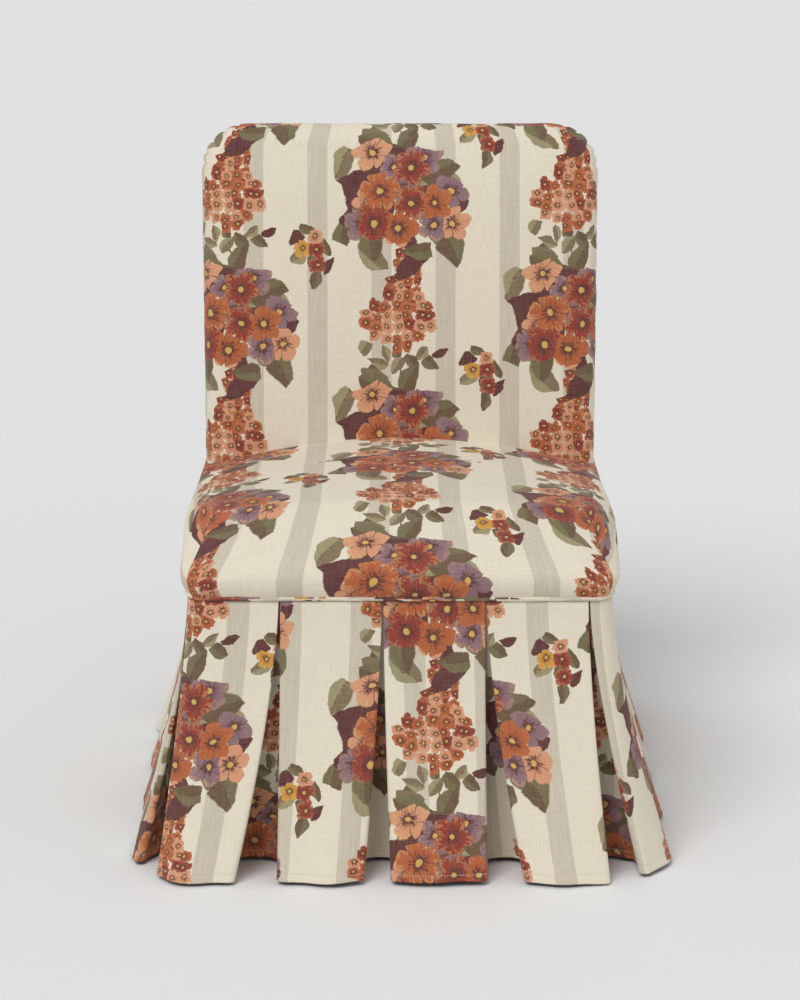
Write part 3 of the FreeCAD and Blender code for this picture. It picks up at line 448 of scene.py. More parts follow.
def back_places(seat, back):
    """The back's foot, how far its slope runs up, and the outside back's rake and length."""
    foot_y = -seat.depth / 2 + back.inside_depth
    foot_z = seat.welt + seat.rise + back.foot_lift
    lean = back.recline
    rise = back.front_roll + (back.height - back.front_roll - foot_z
                              + back.front_roll * math.sin(lean)) / math.cos(lean)
    top_y = foot_y + rise * math.sin(lean) + back.thickness * math.cos(lean)
    top_z = foot_z + rise * math.cos(lean) - back.thickness * math.sin(lean)
    run, climb = top_y - seat.depth / 2, top_z - seat.welt
    return {"foot_y": foot_y, "foot_z": foot_z, "rise": rise, "rake": math.atan2(run, climb),
            "rear_rise": math.hypot(run, climb)}


def on_front(seat, back, x, up, deep):
    """Points of the back from its own axes: across, up the slope and into the thickness."""
    place = back_places(seat, back)
    lean = back.recline
    return np.stack(np.broadcast_arrays(
        x, place["foot_y"] + up * math.sin(lean) + deep * math.cos(lean),
        place["foot_z"] + up * math.cos(lean) - deep * math.sin(lean)), -1)


def on_rear(seat, back, x, up, deep):
    """The same from the outside back: across, up from the welt and forward into the back."""
    rake = back_places(seat, back)["rake"]
    return np.stack(np.broadcast_arrays(
        x, seat.depth / 2 + up * math.sin(rake) - deep * math.cos(rake),
        seat.welt + up * math.cos(rake) + deep * math.sin(rake)), -1)


def arch_rings(half_low, half_high, low, high, radius, side, over, arc):
    """Arches: up the left side, round the corner, across the top and down the right side.

    Sizes are arrays with one value a ring; side, over and arc are the steps in each run. Gives across,
    up, the way outward and the angle round the corner, from 0 at the sides to 90 degrees on top.
    """
    half_low, half_high, low, high, radius = (np.atleast_1d(v)[:, None] * 1.0 for v in
                                              (half_low, half_high, low, high, radius))
    share = np.linspace(0.0, 1.0, side + 1)[:-1]
    up_side = low + (high - radius - low) * share
    across_side = half_low + (half_high - half_low) * (up_side - low) / np.maximum(high - low, 1e-6)
    turn = np.linspace(0.0, math.pi / 2, arc + 1)
    across_arc = half_high - radius + radius * np.cos(turn)
    up_arc = high - radius + radius * np.sin(turn)
    sweep = np.linspace(1.0, -1.0, over + 1)[1:-1]
    across_top = (half_high - radius) * sweep
    up_top = high + 0.0 * across_top
    across = np.concatenate([across_side, across_arc, across_top], 1)
    ups = np.concatenate([up_side, up_arc, up_top], 1)
    angles = np.concatenate([np.zeros(side), turn, np.full(over - 1, math.pi / 2)])
    left = side + arc + 1
    across = np.concatenate([across, -across[:, :left][:, ::-1]], 1)
    ups = np.concatenate([ups, ups[:, :left][:, ::-1]], 1)
    hand = np.concatenate([np.ones(left + over - 1), -np.ones(left)])
    angles = np.concatenate([angles, angles[:left][::-1]])
    outward = np.stack([np.cos(angles) * hand, np.sin(angles)], -1)
    return across, ups, outward, angles


# The arches of the back: steps up a side, across the top and round a corner, how far they reach down
# behind the seat, the roll's levels and first turn in degrees, where the crown's innermost arch lies and
# how its middle is closed, the rear seam's foot and the swell of the outside back
BACK_STEPS = (54, 84, 36)
BACK_LOW = 0.066
BACK_ROLL_LEVELS = 17
BACK_EDGE_TURN = 80.0
BACK_CROWN_INSET = 0.150
BACK_CROWN_CORNER = 0.060
BACK_MIDDLE_DROP = 0.04
BACK_MIDDLE_LIFT = 0.0015
REAR_SEAM_LOW = 0.050
REAR_SWELL = 0.002


def back_half(back, place, up):
    """Half the back's width at a height up its slope."""
    share = up * math.cos(back.recline) / (back.height - place["foot_z"])
    return (back.foot + (back.top - back.foot) * share) / 2


def back_gathers(angles, outward, cloth, run):
    """How far the inside back's cover stands out past the roll's start, point by point.

    The gathers at the top corners are ripples round the arc, deepest at the roll, with sharp valleys
    and a nick at their foot. The last rows are drawn in to the seam.
    """
    degrees = np.degrees(angles)
    hand = np.sign(outward[:, 0] + 1e-9)
    phase = degrees / 90.0 * 6.3 + 0.25 * np.sin(degrees / 17.0) + 0.2 * (hand > 0)
    pleats = 1.0 - 2.6 * (1.0 - np.abs(np.sin(math.pi * phase))) ** 2.2
    at_corner = smooth((degrees - 2) / 12.0) * smooth((86 - degrees) / 20.0)
    depth = smooth((run - 0.004) / 0.034) * (1 - 0.35 * smooth((run - 0.07) / 0.05))
    push = MM * 1.5 * pleats * at_corner * depth
    nick = np.exp(-((degrees - 12) / 7.0) ** 2) * smooth(run / 0.03)
    push = push - MM * 2.2 * nick
    seam = np.zeros(len(run))
    seam[-3:] = (0.0, 0.4, 1.8)
    push = push + MM * 0.7 * ripple(cloth[..., 0], cloth[..., 1], 21, 0.045) * smooth(run / 0.02) * 0.8
    return push - MM * seam[:, None]


def inside_back_grid(seat, back, under=0.0):
    """The inside back's cover: arches from the middle out, over the crown, round the front roll and
    back along the sides and top to the seam with the outside back.

    The crown's depth = an even fall from the middle to the roll; the roll is a quarter ellipse, 20 mm
    wide at the sides and 37 mm on top; the band runs straight to the rear seam. The flat cloth is x and
    the way up the slope, and past the roll's start it runs on outward by the length of the profile.
    under sets the padding's even surface, which has no gathers, this far inside the cover.
    """
    place = back_places(seat, back)
    start = math.radians(BACK_EDGE_TURN)
    share = np.linspace(1.0, 0.0, 19)[:-1]
    edge_side = back.side_roll * (1 - math.cos(start))
    edge_top = back.front_roll * (1 - math.cos(start))
    edge_deep = back.front_roll * (1 - math.sin(start))
    side_in = edge_side + share * (BACK_CROWN_INSET - edge_side)
    top_in = edge_top + share * (BACK_CROWN_INSET - edge_top)
    deep = edge_deep - (edge_deep + back.crown) * (1 - (1 - share) ** 2)
    radius = back.corner - edge_top + share * (BACK_CROWN_CORNER - back.corner + edge_top)
    inner = np.linspace(1.0, 0.0, 10)[1:][::-1]
    side_in = np.concatenate([np.full(len(inner), BACK_CROWN_INSET), side_in])
    closing = np.concatenate([inner, np.ones(len(share) + BACK_ROLL_LEVELS)])
    top_in = np.concatenate([BACK_CROWN_INSET + BACK_MIDDLE_DROP * (1 - inner), top_in])
    middle = np.full(len(inner), -back.crown) - BACK_MIDDLE_LIFT * (1 - inner ** 2)
    deep = np.concatenate([middle, deep])
    radius = np.concatenate([BACK_CROWN_CORNER * inner, radius])
    turn = np.radians(np.linspace(BACK_EDGE_TURN, 0.0, BACK_ROLL_LEVELS))
    edge = len(side_in)
    side_in = np.concatenate([side_in, back.side_roll * (1 - np.cos(turn))])
    top_in = np.concatenate([top_in, back.front_roll * (1 - np.cos(turn))])
    deep = np.concatenate([deep, back.front_roll * (1 - np.sin(turn))]) + under
    radius = np.concatenate([radius, back.corner - back.front_roll * (1 - np.cos(turn))])
    low = -BACK_LOW
    half_low = (back_half(back, place, low) - side_in) * closing
    half_high = (back_half(back, place, place["rise"]) - side_in) * closing
    across, ups, outward, angles = arch_rings(half_low, half_high, np.full(len(deep), low),
                                              place["rise"] - top_in, radius, *BACK_STEPS)
    front = on_front(seat, back, across, ups, deep[:, None] + 0 * across)
    rear_half = back_half(back, place, np.array([low, place["rise"]]))
    rear_across, rear_ups, _, _ = arch_rings(rear_half[:1], rear_half[1:], [REAR_SEAM_LOW],
                                             [place["rear_rise"]], [back.corner], *BACK_STEPS)
    rear = on_rear(seat, back, rear_across, rear_ups, back.rear_roll + 0 * rear_across)
    share = np.linspace(0.0, 1.0, 9)[1:, None, None]
    band = front[-1:] * (1 - share) + rear * share
    grid = np.concatenate([front, band])
    steps = np.linalg.norm(np.diff(grid, axis=0), axis=-1)
    run = np.zeros(grid.shape[:2])
    run[edge + 1:] = np.cumsum(steps[edge:], axis=0)
    cloth = np.stack([across, ups], -1)
    cloth = np.concatenate([cloth, np.repeat(cloth[-1:], len(band), 0)])
    cloth[edge + 1:] = cloth[edge] + outward * run[edge + 1:, :, None]
    normal = on_front(seat, back, outward[:, 0], outward[:, 1], 0.0) - on_front(seat, back, 0.0, 0.0, 0.0)
    if under:
        push = np.full(run.shape, -under) * smooth(run / 0.01)
    else:
        push = back_gathers(angles, outward, cloth, run)
    grid = grid + normal * push[..., None]
    ahead = on_front(seat, back, 0.0, 0.0, -1.0) - on_front(seat, back, 0.0, 0.0, 0.0)
    flat = 1 - smooth(run / 0.03)
    grid = grid + ahead * (MM * 0.6 * ripple(cloth[..., 0], cloth[..., 1], 33, 0.13) * flat)[..., None]
    return grid, cloth


def outside_back_grid(seat, back):
    """The outside back's cover: arches from the seam round the rear roll and in to the middle line.

    It stands on one raked plane with a swell of 2 mm. Under the seat's shoulder it narrows to the run
    between the seat's rear corners. The flat cloth is x and the way up the plane.
    """
    place = back_places(seat, back)
    turn = np.radians(np.linspace(-14.0, 84.0, 13))
    inset = back.rear_roll * (1 - np.cos(turn)) + np.where(turn < 0, 0.0006, 0.0)
    deep = back.rear_roll * (1 - np.sin(turn))
    share = np.linspace(0.0, 1.0, 16)[1:]
    half = back_half(back, place, place["rise"])
    closing = np.concatenate([np.ones(len(turn)), 1 - share])
    over = np.concatenate([inset, inset[-1] + share * (half - inset[-1])])
    inset = np.concatenate([inset, np.full(len(share), inset[-1])])
    deep = np.concatenate([deep, deep[-1] * (1 - share) - REAR_SWELL * (1 - (1 - share) ** 2)])
    radius = (back.corner - inset) * closing
    low = 0.004
    half_low = (back_half(back, place, -BACK_LOW) - inset) * closing
    half_high = (half - inset) * closing
    top = place["rear_rise"] - np.minimum(over, 0.2)
    across, ups, _, _ = arch_rings(half_low, half_high, np.full(len(inset), low), top, radius,
                                   *BACK_STEPS)
    narrow = 1 - (1 - (seat.width / 2 - 0.016) / half_low[0]) * smooth((0.072 - ups) / 0.034)
    across = across * narrow
    push = MM * 0.5 * ripple(across, ups, 41, 0.16)
    grid = on_rear(seat, back, across, ups, deep[:, None] - push)
    return grid, np.stack([-across, ups], -1)


# Welt

def welt_grid(seat):
    """A round tube along the seat's outline at the welt's height, a little uneven as a sewn welt is.

    The flat cloth is a bias strip: the run along the tube and the way round it, turned 45 degrees.
    """
    around = np.linspace(0.0, 2 * math.pi, 17)
    x, y, outward, ids, _, _ = plan_rings(np.array([seat.width / 2 - 0.0005]),
                                          np.array([-seat.depth / 2 + 0.0005]),
                                          np.array([seat.depth / 2 - 0.0005]),
                                          np.array([seat.corner]), WELT_STEPS)
    run = arc_lengths(x[0], y[0])
    wobble = 1 + 0.035 * ripple(run, 0 * run, 5, 0.060)
    radius = seat.cord / 2 * wobble[None, :]
    out = radius * np.cos(around)[:, None]
    rise = radius * np.sin(around)[:, None] + MM * 0.35 * ripple(run, 0 * run, 6, 0.150)[None, :]
    grid = np.stack([x + outward[..., 0] * out, y + outward[..., 1] * out, seat.welt + rise], -1)
    skew = math.sqrt(0.5)
    girth = around[:, None] * seat.cord / 2
    cloth = np.stack([(run[None, :] - girth) * skew, (run[None, :] + girth) * skew], -1)
    return grid, cloth, ids


# Skirt

def skirt_box(seat, skirt, flare):
    """Half the outline's width and depth and its corners' radius, by flare from 0 on top to 1."""
    return (seat.width / 2 + skirt.flare * flare, seat.depth / 2 + skirt.flare * flare,
            seat.corner + (skirt.hem_corner - seat.corner) * flare)


def skirt_plan(seat, skirt, share, flare):
    """Points on the skirt's outline and the way inward, by share of its length from the front's middle."""
    half_x, half_y, radius = skirt_box(seat, skirt, flare)
    arc = math.pi * radius / 2
    run_x, run_y = half_x - radius, half_y - radius
    whole = 4 * (run_x + run_y + arc)
    left = np.mod(share, 1.0) * whole
    x, y = np.zeros(left.shape), -half_y + 0 * left
    heading = np.zeros(left.shape)
    for size, curved in ((run_x, False), (arc, True), (2 * run_y, False), (arc, True),
                         (2 * run_x, False), (arc, True), (2 * run_y, False), (arc, True),
                         (run_x, False)):
        step = np.clip(left, 0.0, size)
        turn = step / radius if curved else 0 * step
        along = radius * np.sin(turn) if curved else step
        inward = radius * (1 - np.cos(turn)) if curved else 0 * step
        x = x + np.cos(heading) * along - np.sin(heading) * inward
        y = y + np.sin(heading) * along + np.cos(heading) * inward
        heading = heading + turn
        left = left - step
    return x, y, np.stack([-np.sin(heading), np.cos(heading)], -1)


def skirt_whole(seat, skirt, flare):
    """Length round the skirt's outline."""
    half_x, half_y, radius = skirt_box(seat, skirt, flare)
    return 4 * (half_x + half_y) - (8 - 2 * math.pi) * radius


def corner_cut(values, times):
    """Cuts corners along the last axis but one: each span gives its points at a quarter and three
    quarters, and the ends stay."""
    for _ in range(times):
        first, last = values[..., :-1, :], values[..., 1:, :]
        mixed = np.stack([0.75 * first + 0.25 * last, 0.25 * first + 0.75 * last], -2)
        mixed = mixed.reshape(values.shape[:-2] + (-1, values.shape[-1]))
        values = np.concatenate([values[..., :1, :], mixed, values[..., -1:, :]], -2)
    return values


SKIRT_SIDES = (("skirt_front", 4), ("skirt_right", 5), ("skirt_back", 4), ("skirt_left", 4))
FRONT_MOUTHS = {-2: 1.0, -1: 1.08, 0: 0.66, 1: 0.92, 2: 1.0}

# Sizes of a pleat at the welt and at the hem, the skirt's place under the welt and over the floor, the
# power of its flare, how thick its cloth is, the lining's place behind it and the dust cover's cloth
MOUTH_TOP = 0.0007
UNDERLAY_TOP = 0.050
UNDERLAY_HEM = 0.040
TUCK_TOP = 0.0040
SAG_TOP = 0.0010
SAG_GROWTH = 0.025
ROLL_TOP = 0.0022
ROLL_HEM = 0.011
FOLD_EASE = 0.010
LEAN = 0.003
HEAD_GAP = 0.0003
LEAST_HEIGHT = 0.002
FLARE_POWER = 1.5
SKIRT_CLOTH = 0.0011
LINING_BEHIND = 0.0021
LINING_TOP = 0.06
LINING_LONGER = 0.0012
DUST_CLOTH = 0.0006


def pleat_chance(number, count):
    """How one pleat differs from the next: the size of its mouth, its depth and how it leans."""
    number = number - count if number > count // 2 else number
    chance = np.random.default_rng(100 + number % count)
    mouth, depth, lean = chance.uniform(0.80, 1.15), chance.uniform(0.92, 1.06), chance.uniform(-1, 1)
    return FRONT_MOUTHS.get(number, mouth), depth, lean


def skirt_rows(seat, skirt, first, last, shares, behind=0.0):
    """The skirt between the middles of two pleats: rows down its drop, points along its cloth.

    With f = share of the drop to the power 1.5, a pleat's mouth, fold and depth grow with f from a closed
    box pleat at the welt, whose folds lie flat behind the panels, to an open one at the hem. Each
    pleat is a polygon of its underlay, its returns and its rolled edges, and each panel follows the
    outline with a low belly; the corners are then cut smooth. behind moves the cloth into the chair.
    """
    flare = shares ** FLARE_POWER
    f = flare[:, None]
    whole = skirt_whole(seat, skirt, flare)[:, None]
    points, marks = [], []

    def share_of(number):
        """Where a pleat's middle stands, as a share of the whole outline."""
        return skirt.shift / skirt_whole(seat, skirt, 0.0) + number / skirt.pleats

    def on_outline(number, along, deep, mark):
        """Adds a column of points that follows the outline."""
        x, y, inward = skirt_plan(seat, skirt, share_of(number) + along / whole, f)
        points.append(np.stack([x, y], -1) + inward * np.asarray(deep + 0 * f)[..., None])
        marks.append(mark + 0 * f)

    def in_pleat(number, along, deep, mark):
        """Adds a column that follows the outline on top and the pleat's straight underlay below."""
        x, y, inward = skirt_plan(seat, skirt, share_of(number) + along / whole, f)
        round_corner = np.stack([x, y], -1) + inward * np.asarray(deep + 0 * f)[..., None]
        x, y, inward = skirt_plan(seat, skirt, share_of(number) + 0 * f, f)
        ahead = np.stack([inward[..., 1], -inward[..., 0]], -1)
        straight = (np.stack([x, y], -1) + ahead * np.asarray(along + 0 * f)[..., None]
                    + inward * np.asarray(deep + 0 * f)[..., None])
        points.append(round_corner + (straight - round_corner) * smooth(f / 0.5)[..., None])
        marks.append(mark + 0 * f)

    def half(number, hand):
        """A pleat's middle to its mouth, as placing function, offset, depth and place on the cloth."""
        size, deeper, lean = pleat_chance(number, skirt.pleats)
        mouth = (MOUTH_TOP + (skirt.mouth * size - MOUTH_TOP) * f) + hand * lean * LEAN * f
        under = UNDERLAY_TOP + (UNDERLAY_HEM * (0.6 + 0.4 * size) - UNDERLAY_TOP) * f ** 0.7
        deep = TUCK_TOP + (skirt.tuck * deeper - TUCK_TOP) * f ** 0.85
        sag = SAG_TOP + SAG_GROWTH * f
        roll = ROLL_TOP + (ROLL_HEM - ROLL_TOP) * f
        centre = (number - 0.5) * skirt.cloth
        ease = FOLD_EASE + 0 * f
        back_x, back_y = mouth - under, roll - deep
        size_back = np.hypot(back_x, back_y)
        flat = skirt.cloth / 2 - (whole / skirt.pleats / 2 - mouth)
        steps = [(in_pleat, 0 * f, deep + sag, 0 * f),
                 (in_pleat, under * 0.30, deep + sag * 0.95, under * 0.30),
                 (in_pleat, under * 0.58, deep + sag * 0.66, under * 0.60)]
        near = np.minimum(ease, 0.25 * under)
        steps.append((in_pleat, under - near, deep + sag * near / under, under - near * 0.8))
        steps.append((in_pleat, under, deep, under))
        for part in (near / size_back, 0.5 + 0 * f, 0.82 + 0 * f):
            steps.append((in_pleat, under + back_x * part, deep + back_y * part,
                          under + (flat - under) * part))
        steps.append((on_outline, mouth + 0 * f, roll, flat - roll * 0.6))
        steps.append((on_outline, mouth + roll * 0.12, roll * 0.35, flat - roll * 0.1))
        steps.append((on_outline, mouth + roll * 0.55, 0.04 * roll, flat + roll * 0.45))
        steps.append((on_outline, mouth + roll * 1.4, 0 * f, flat + roll * 1.3))
        return centre, mouth, roll, [(put, hand * along, depth, hand * mark + centre)
                                     for put, along, depth, mark in steps]

    for number in range(first, last):
        centre, mouth, roll, steps = half(number, 1)
        _, next_mouth, next_roll, next_steps = half(number + 1, -1)
        for put, along, deep, mark in steps:
            put(number, along, deep, mark)
        start = mouth + roll * 1.4
        run = whole / skirt.pleats - start - (next_mouth + next_roll * 1.4)
        chance = np.random.default_rng(40 + number % skirt.pleats)
        bow, dent = chance.uniform(0.0025, 0.0065), chance.uniform(-1, 1) * 0.0035
        for part in np.linspace(0.0, 1.0, 10)[1:-1]:
            deep = -(bow * math.sin(math.pi * part) + dent * math.sin(2 * math.pi * part)) * f
            along = start + part * run
            mark = centre + skirt.cloth / 2 + along - whole / skirt.pleats / 2
            on_outline(number, along, deep, mark)
        for put, along, deep, mark in next_steps[:0:-1]:
            put(number + 1, along, deep, mark)
    _, _, _, steps = half(last, -1)
    put, along, deep, mark = steps[0]
    put(last, along, deep, mark)
    plan = np.stack(points, -2).reshape(len(shares), -1, 2)
    mark = np.stack(marks, -2).reshape(len(shares), -1, 1)
    both = corner_cut(np.concatenate([plan, mark], -1), 2)
    plan, mark = both[..., :2], both[..., 2]
    if behind:
        ahead = np.gradient(plan, axis=1)
        ahead /= np.linalg.norm(ahead, axis=-1, keepdims=True) + 1e-9
        plan = plan + np.stack([-ahead[..., 1], ahead[..., 0]], -1) * behind
    return plan, mark


def skirt_grid(seat, skirt, first, last, behind=0.0, top=0.0, longer=0.0):
    """The pleated rows set at their heights, with the hem dipping a little from fold to fold.

    behind moves them into the chair, top is the share of the drop where they start, and longer lets
    them hang down further.
    """
    shares = np.concatenate([np.linspace(top, 0.12, 6), np.linspace(0.12, 0.97, 30)[1:],
                             [0.976, 0.983, 0.990, 0.995, 1.0]])
    plan, mark = skirt_rows(seat, skirt, first, last, shares, behind)
    head = seat.welt - seat.cord / 2 - HEAD_GAP
    drop = head - skirt.gap
    sway = ripple(mark, 0 * mark, 77, 0.30) * 0.0022 + ripple(mark, 0 * mark, 78, 0.10) * 0.0010
    height = head - shares[:, None] * (drop + longer) + sway * shares[:, None] ** 3
    height = np.maximum(height, LEAST_HEIGHT)
    crimp = MM * 1.1 * ripple(mark, 0 * mark, 61, 0.060) * smooth(shares * 2.2)[:, None]
    ahead = np.gradient(plan, axis=1)
    ahead /= np.linalg.norm(ahead, axis=-1, keepdims=True) + 1e-9
    plan = plan - np.stack([-ahead[..., 1], ahead[..., 0]], -1) * (crimp * shares[:, None])[..., None]
    grid = np.concatenate([plan, height[..., None]], -1)
    fall = arc_lengths(skirt.flare * shares ** FLARE_POWER, shares * drop)
    cloth = np.stack([mark, -(fall[:, None] + 0 * mark)], -1)
    return grid, cloth


# Node helpers

class Wiring:
    """Short ways to add nodes to a tree and join them."""

    def __init__(self, tree):
        self.tree = tree
        self.count = 0

    def node(self, kind, **facts):
        made = self.tree.nodes.new(kind)
        made.location = ((self.count % 12) * 190 - 1600, -(self.count // 12) * 240)
        self.count += 1
        for key, value in facts.items():
            setattr(made, key, value)
        return made

    def feed(self, socket, value):
        if isinstance(value, bpy.types.NodeSocket):
            self.tree.links.new(value, socket)
        elif value is not None:
            socket.default_value = value

    def math(self, operation, a, b=None, c=None):
        made = self.node("ShaderNodeMath", operation=operation)
        for socket, value in zip(made.inputs, (a, b, c)):
            self.feed(socket, value)
        return made.outputs[0]

    def vector(self, operation, a, b=None, scale=None):
        made = self.node("ShaderNodeVectorMath", operation=operation)
        self.feed(made.inputs[0], a)
        self.feed(made.inputs[1], b)
        if scale is not None:
            self.feed(made.inputs["Scale"], scale)
        return made.outputs["Value" if operation == "LENGTH" else "Vector"]

    def parts(self, vector):
        made = self.node("ShaderNodeSeparateXYZ")
        self.feed(made.inputs[0], vector)
        return made.outputs

    def joined(self, x, y, z=0.0):
        made = self.node("ShaderNodeCombineXYZ")
        for socket, value in zip(made.inputs, (x, y, z)):
            self.feed(socket, value)
        return made.outputs[0]

    def mix(self, share, a, b):
        made = self.node("ShaderNodeMix", data_type="RGBA")
        self.feed(made.inputs[0], share)
        self.feed(made.inputs[6], a)
        self.feed(made.inputs[7], b)
        return made.outputs[2]

    def blend(self, share, a, b):
        made = self.node("ShaderNodeMix", data_type="FLOAT")
        self.feed(made.inputs[0], share)
        self.feed(made.inputs[2], a)
        self.feed(made.inputs[3], b)
        return made.outputs[0]

    def ease(self, value, low, high, start=0.0, end=1.0):
        made = self.node("ShaderNodeMapRange", interpolation_type="SMOOTHSTEP")
        for socket, item in zip(made.inputs, (value, low, high, start, end)):
            self.feed(socket, item)
        return made.outputs[0]

    def noise(self, place, scale, detail=2.0, rough=0.5, dimensions="3D"):
        made = self.node("ShaderNodeTexNoise", noise_dimensions=dimensions)
        self.feed(made.inputs["Vector"], place)
        self.feed(made.inputs["Scale"], scale)
        self.feed(made.inputs["Detail"], detail)
        self.feed(made.inputs["Roughness"], rough)
        return made.outputs

    def wave(self, place, scale, way, distortion=0.0):
        made = self.node("ShaderNodeTexWave", bands_direction=way, wave_profile="SIN")
        self.feed(made.inputs["Vector"], place)
        self.feed(made.inputs["Scale"], scale)
        self.feed(made.inputs["Distortion"], distortion)
        return made.outputs["Fac"]


def new_material(name, viewport):
    """A material with its nodes and shader; the prefix keeps it apart from the frame's own."""
    material = bpy.data.materials.new("chair_" + name)
    material.use_nodes = True
    material.diffuse_color = viewport
    shader = material.node_tree.nodes["Principled BSDF"]
    return material, Wiring(material.node_tree), shader


def bumped(wiring, shader, height, distance, strength=1.0):
    """Gives the shader a relief, distance in metres."""
    bump = wiring.node("ShaderNodeBump")
    wiring.feed(bump.inputs["Strength"], strength)
    wiring.feed(bump.inputs["Distance"], distance)
    wiring.feed(bump.inputs["Height"], height)
    wiring.feed(shader.inputs["Normal"], bump.outputs[0])


def group_tree(name, inputs, outputs):
    """An empty node group with these sockets."""
    tree = bpy.data.node_groups.new(name, "ShaderNodeTree")
    kinds = {"v": "NodeSocketVector", "f": "NodeSocketFloat", "c": "NodeSocketColor"}
    for title, kind in inputs:
        tree.interface.new_socket(title, in_out="INPUT", socket_type=kinds[kind])
    for title, kind in outputs:
        tree.interface.new_socket(title, in_out="OUTPUT", socket_type=kinds[kind])
    wiring = Wiring(tree)
    start, end = wiring.node("NodeGroupInput"), wiring.node("NodeGroupOutput")
    return tree, wiring, start.outputs, end.inputs


def grouped(wiring, tree, **values):
    """The group's outputs with these values, in whose names _ stands for a space."""
    made = wiring.node("ShaderNodeGroup", node_tree=tree)
    for key, value in values.items():
        wiring.feed(made.inputs[key.replace("_", " ")], value)
    return made.outputs


# The printed cloth

def scattered(wiring, start, even):
    """Motifs scattered in an oval: the offset from the nearest motif's middle, its chance values and
    whether that middle is inside the oval. Each motif's cell is the area nearest to its middle."""
    cells = wiring.node("ShaderNodeTexVoronoi", voronoi_dimensions="2D", feature="F1")
    wiring.feed(cells.inputs["Vector"], wiring.vector("DIVIDE", start["Place"], wiring.joined(
        start["Pitch"], start["Pitch"], 1.0)))
    wiring.feed(cells.inputs["Scale"], 1.0)
    wiring.feed(cells.inputs["Randomness"], even)
    middle = wiring.vector("SCALE", cells.outputs["Position"], scale=start["Pitch"])
    offset = wiring.vector("SUBTRACT", start["Place"], middle)
    chance = wiring.parts(cells.outputs["Color"])
    away = wiring.vector("DIVIDE", wiring.vector("SUBTRACT", middle, start["Middle"]), start["Oval"])
    inside = wiring.math("LESS_THAN", wiring.vector("LENGTH", away), 1.0)
    return offset, chance, inside


# The sockets of a field of motifs
FIELD = [("Place", "v"), ("Middle", "v"), ("Oval", "v"), ("Pitch", "f"), ("Size", "f"),
         ("Colour A", "c"), ("Colour B", "c"), ("Colour C", "c"), ("Dark", "c"), ("Below", "c")]


def chosen(wiring, start, chance):
    """One of the field's three colours, by chance from 0 to 1."""
    first = wiring.mix(wiring.math("GREATER_THAN", chance, 0.36), start["Colour A"], start["Colour B"])
    return wiring.mix(wiring.math("GREATER_THAN", chance, 0.70), first, start["Colour C"])


PETAL_EDGE = colour(226, 178, 120)
FLOWER_EYE = colour(214, 172, 92)


def blossom_field():
    """Five-petalled flowers. A petal's rim = 0.58 + 0.42 times |cos 2.5 angle| to the power 0.55; the
    flower is darker in streaks near its eye, paler at its rim and dark between its petals."""
    tree, w, start, end = group_tree("Blossoms", FIELD, [("Colour", "c")])
    offset, chance, inside = scattered(w, start, 0.62)
    x, y, _ = w.parts(offset)
    spin = w.math("MULTIPLY", chance[0], 2 * math.pi)
    around = w.math("ADD", w.math("ARCTAN2", y, x), spin)
    size = w.math("MULTIPLY", start["Size"], w.math("MULTIPLY_ADD", chance[1], 0.35, 0.80))
    away = w.math("DIVIDE", w.vector("LENGTH", offset), size)
    lobe = w.math("ABSOLUTE", w.math("COSINE", w.math("MULTIPLY", around, 2.5)))
    rim = w.math("MULTIPLY_ADD", w.math("POWER", lobe, 0.55), 0.42, 0.58)
    part = w.math("DIVIDE", away, rim)
    cover = w.math("MULTIPLY", w.ease(part, 1.03, 0.95), inside)
    petal = chosen(w, start, chance[2])
    grain = w.noise(start["Place"], 230.0, 2.0, 0.6, "2D")[0]
    streak = w.noise(w.joined(w.math("MULTIPLY", around, 2.2), away, chance[1]), 3.0, 2.0)[0]
    pale = w.mix(0.55, petal, PETAL_EDGE)
    light = w.ease(w.math("ADD", w.math("MULTIPLY_ADD", part, 0.9, grain), streak), 1.64, 1.84)
    tone = w.mix(w.math("MULTIPLY", light, w.math("MULTIPLY_ADD", chance[0], 0.75, 0.15)), petal, pale)
    inner = w.math("SUBTRACT", w.math("MULTIPLY_ADD", streak, 0.95, -0.10), part)
    tone = w.mix(w.ease(inner, -0.10, 0.14), tone, start["Dark"])
    crease = w.math("MULTIPLY", w.ease(lobe, 0.16, 0.05), w.ease(part, 0.25, 0.45))
    tone = w.mix(w.math("MULTIPLY", crease, 0.75), tone, start["Dark"])
    eye = w.ease(away, 0.17, 0.11)
    tone = w.mix(eye, tone, FLOWER_EYE)
    edge = w.math("MULTIPLY", w.ease(part, 0.90, 0.97), w.ease(grain, 0.50, 0.60))
    tone = w.mix(w.math("MULTIPLY", edge, 0.55), tone, start["Dark"])
    w.feed(end["Colour"], w.mix(cover, start["Below"], tone))
    return tree


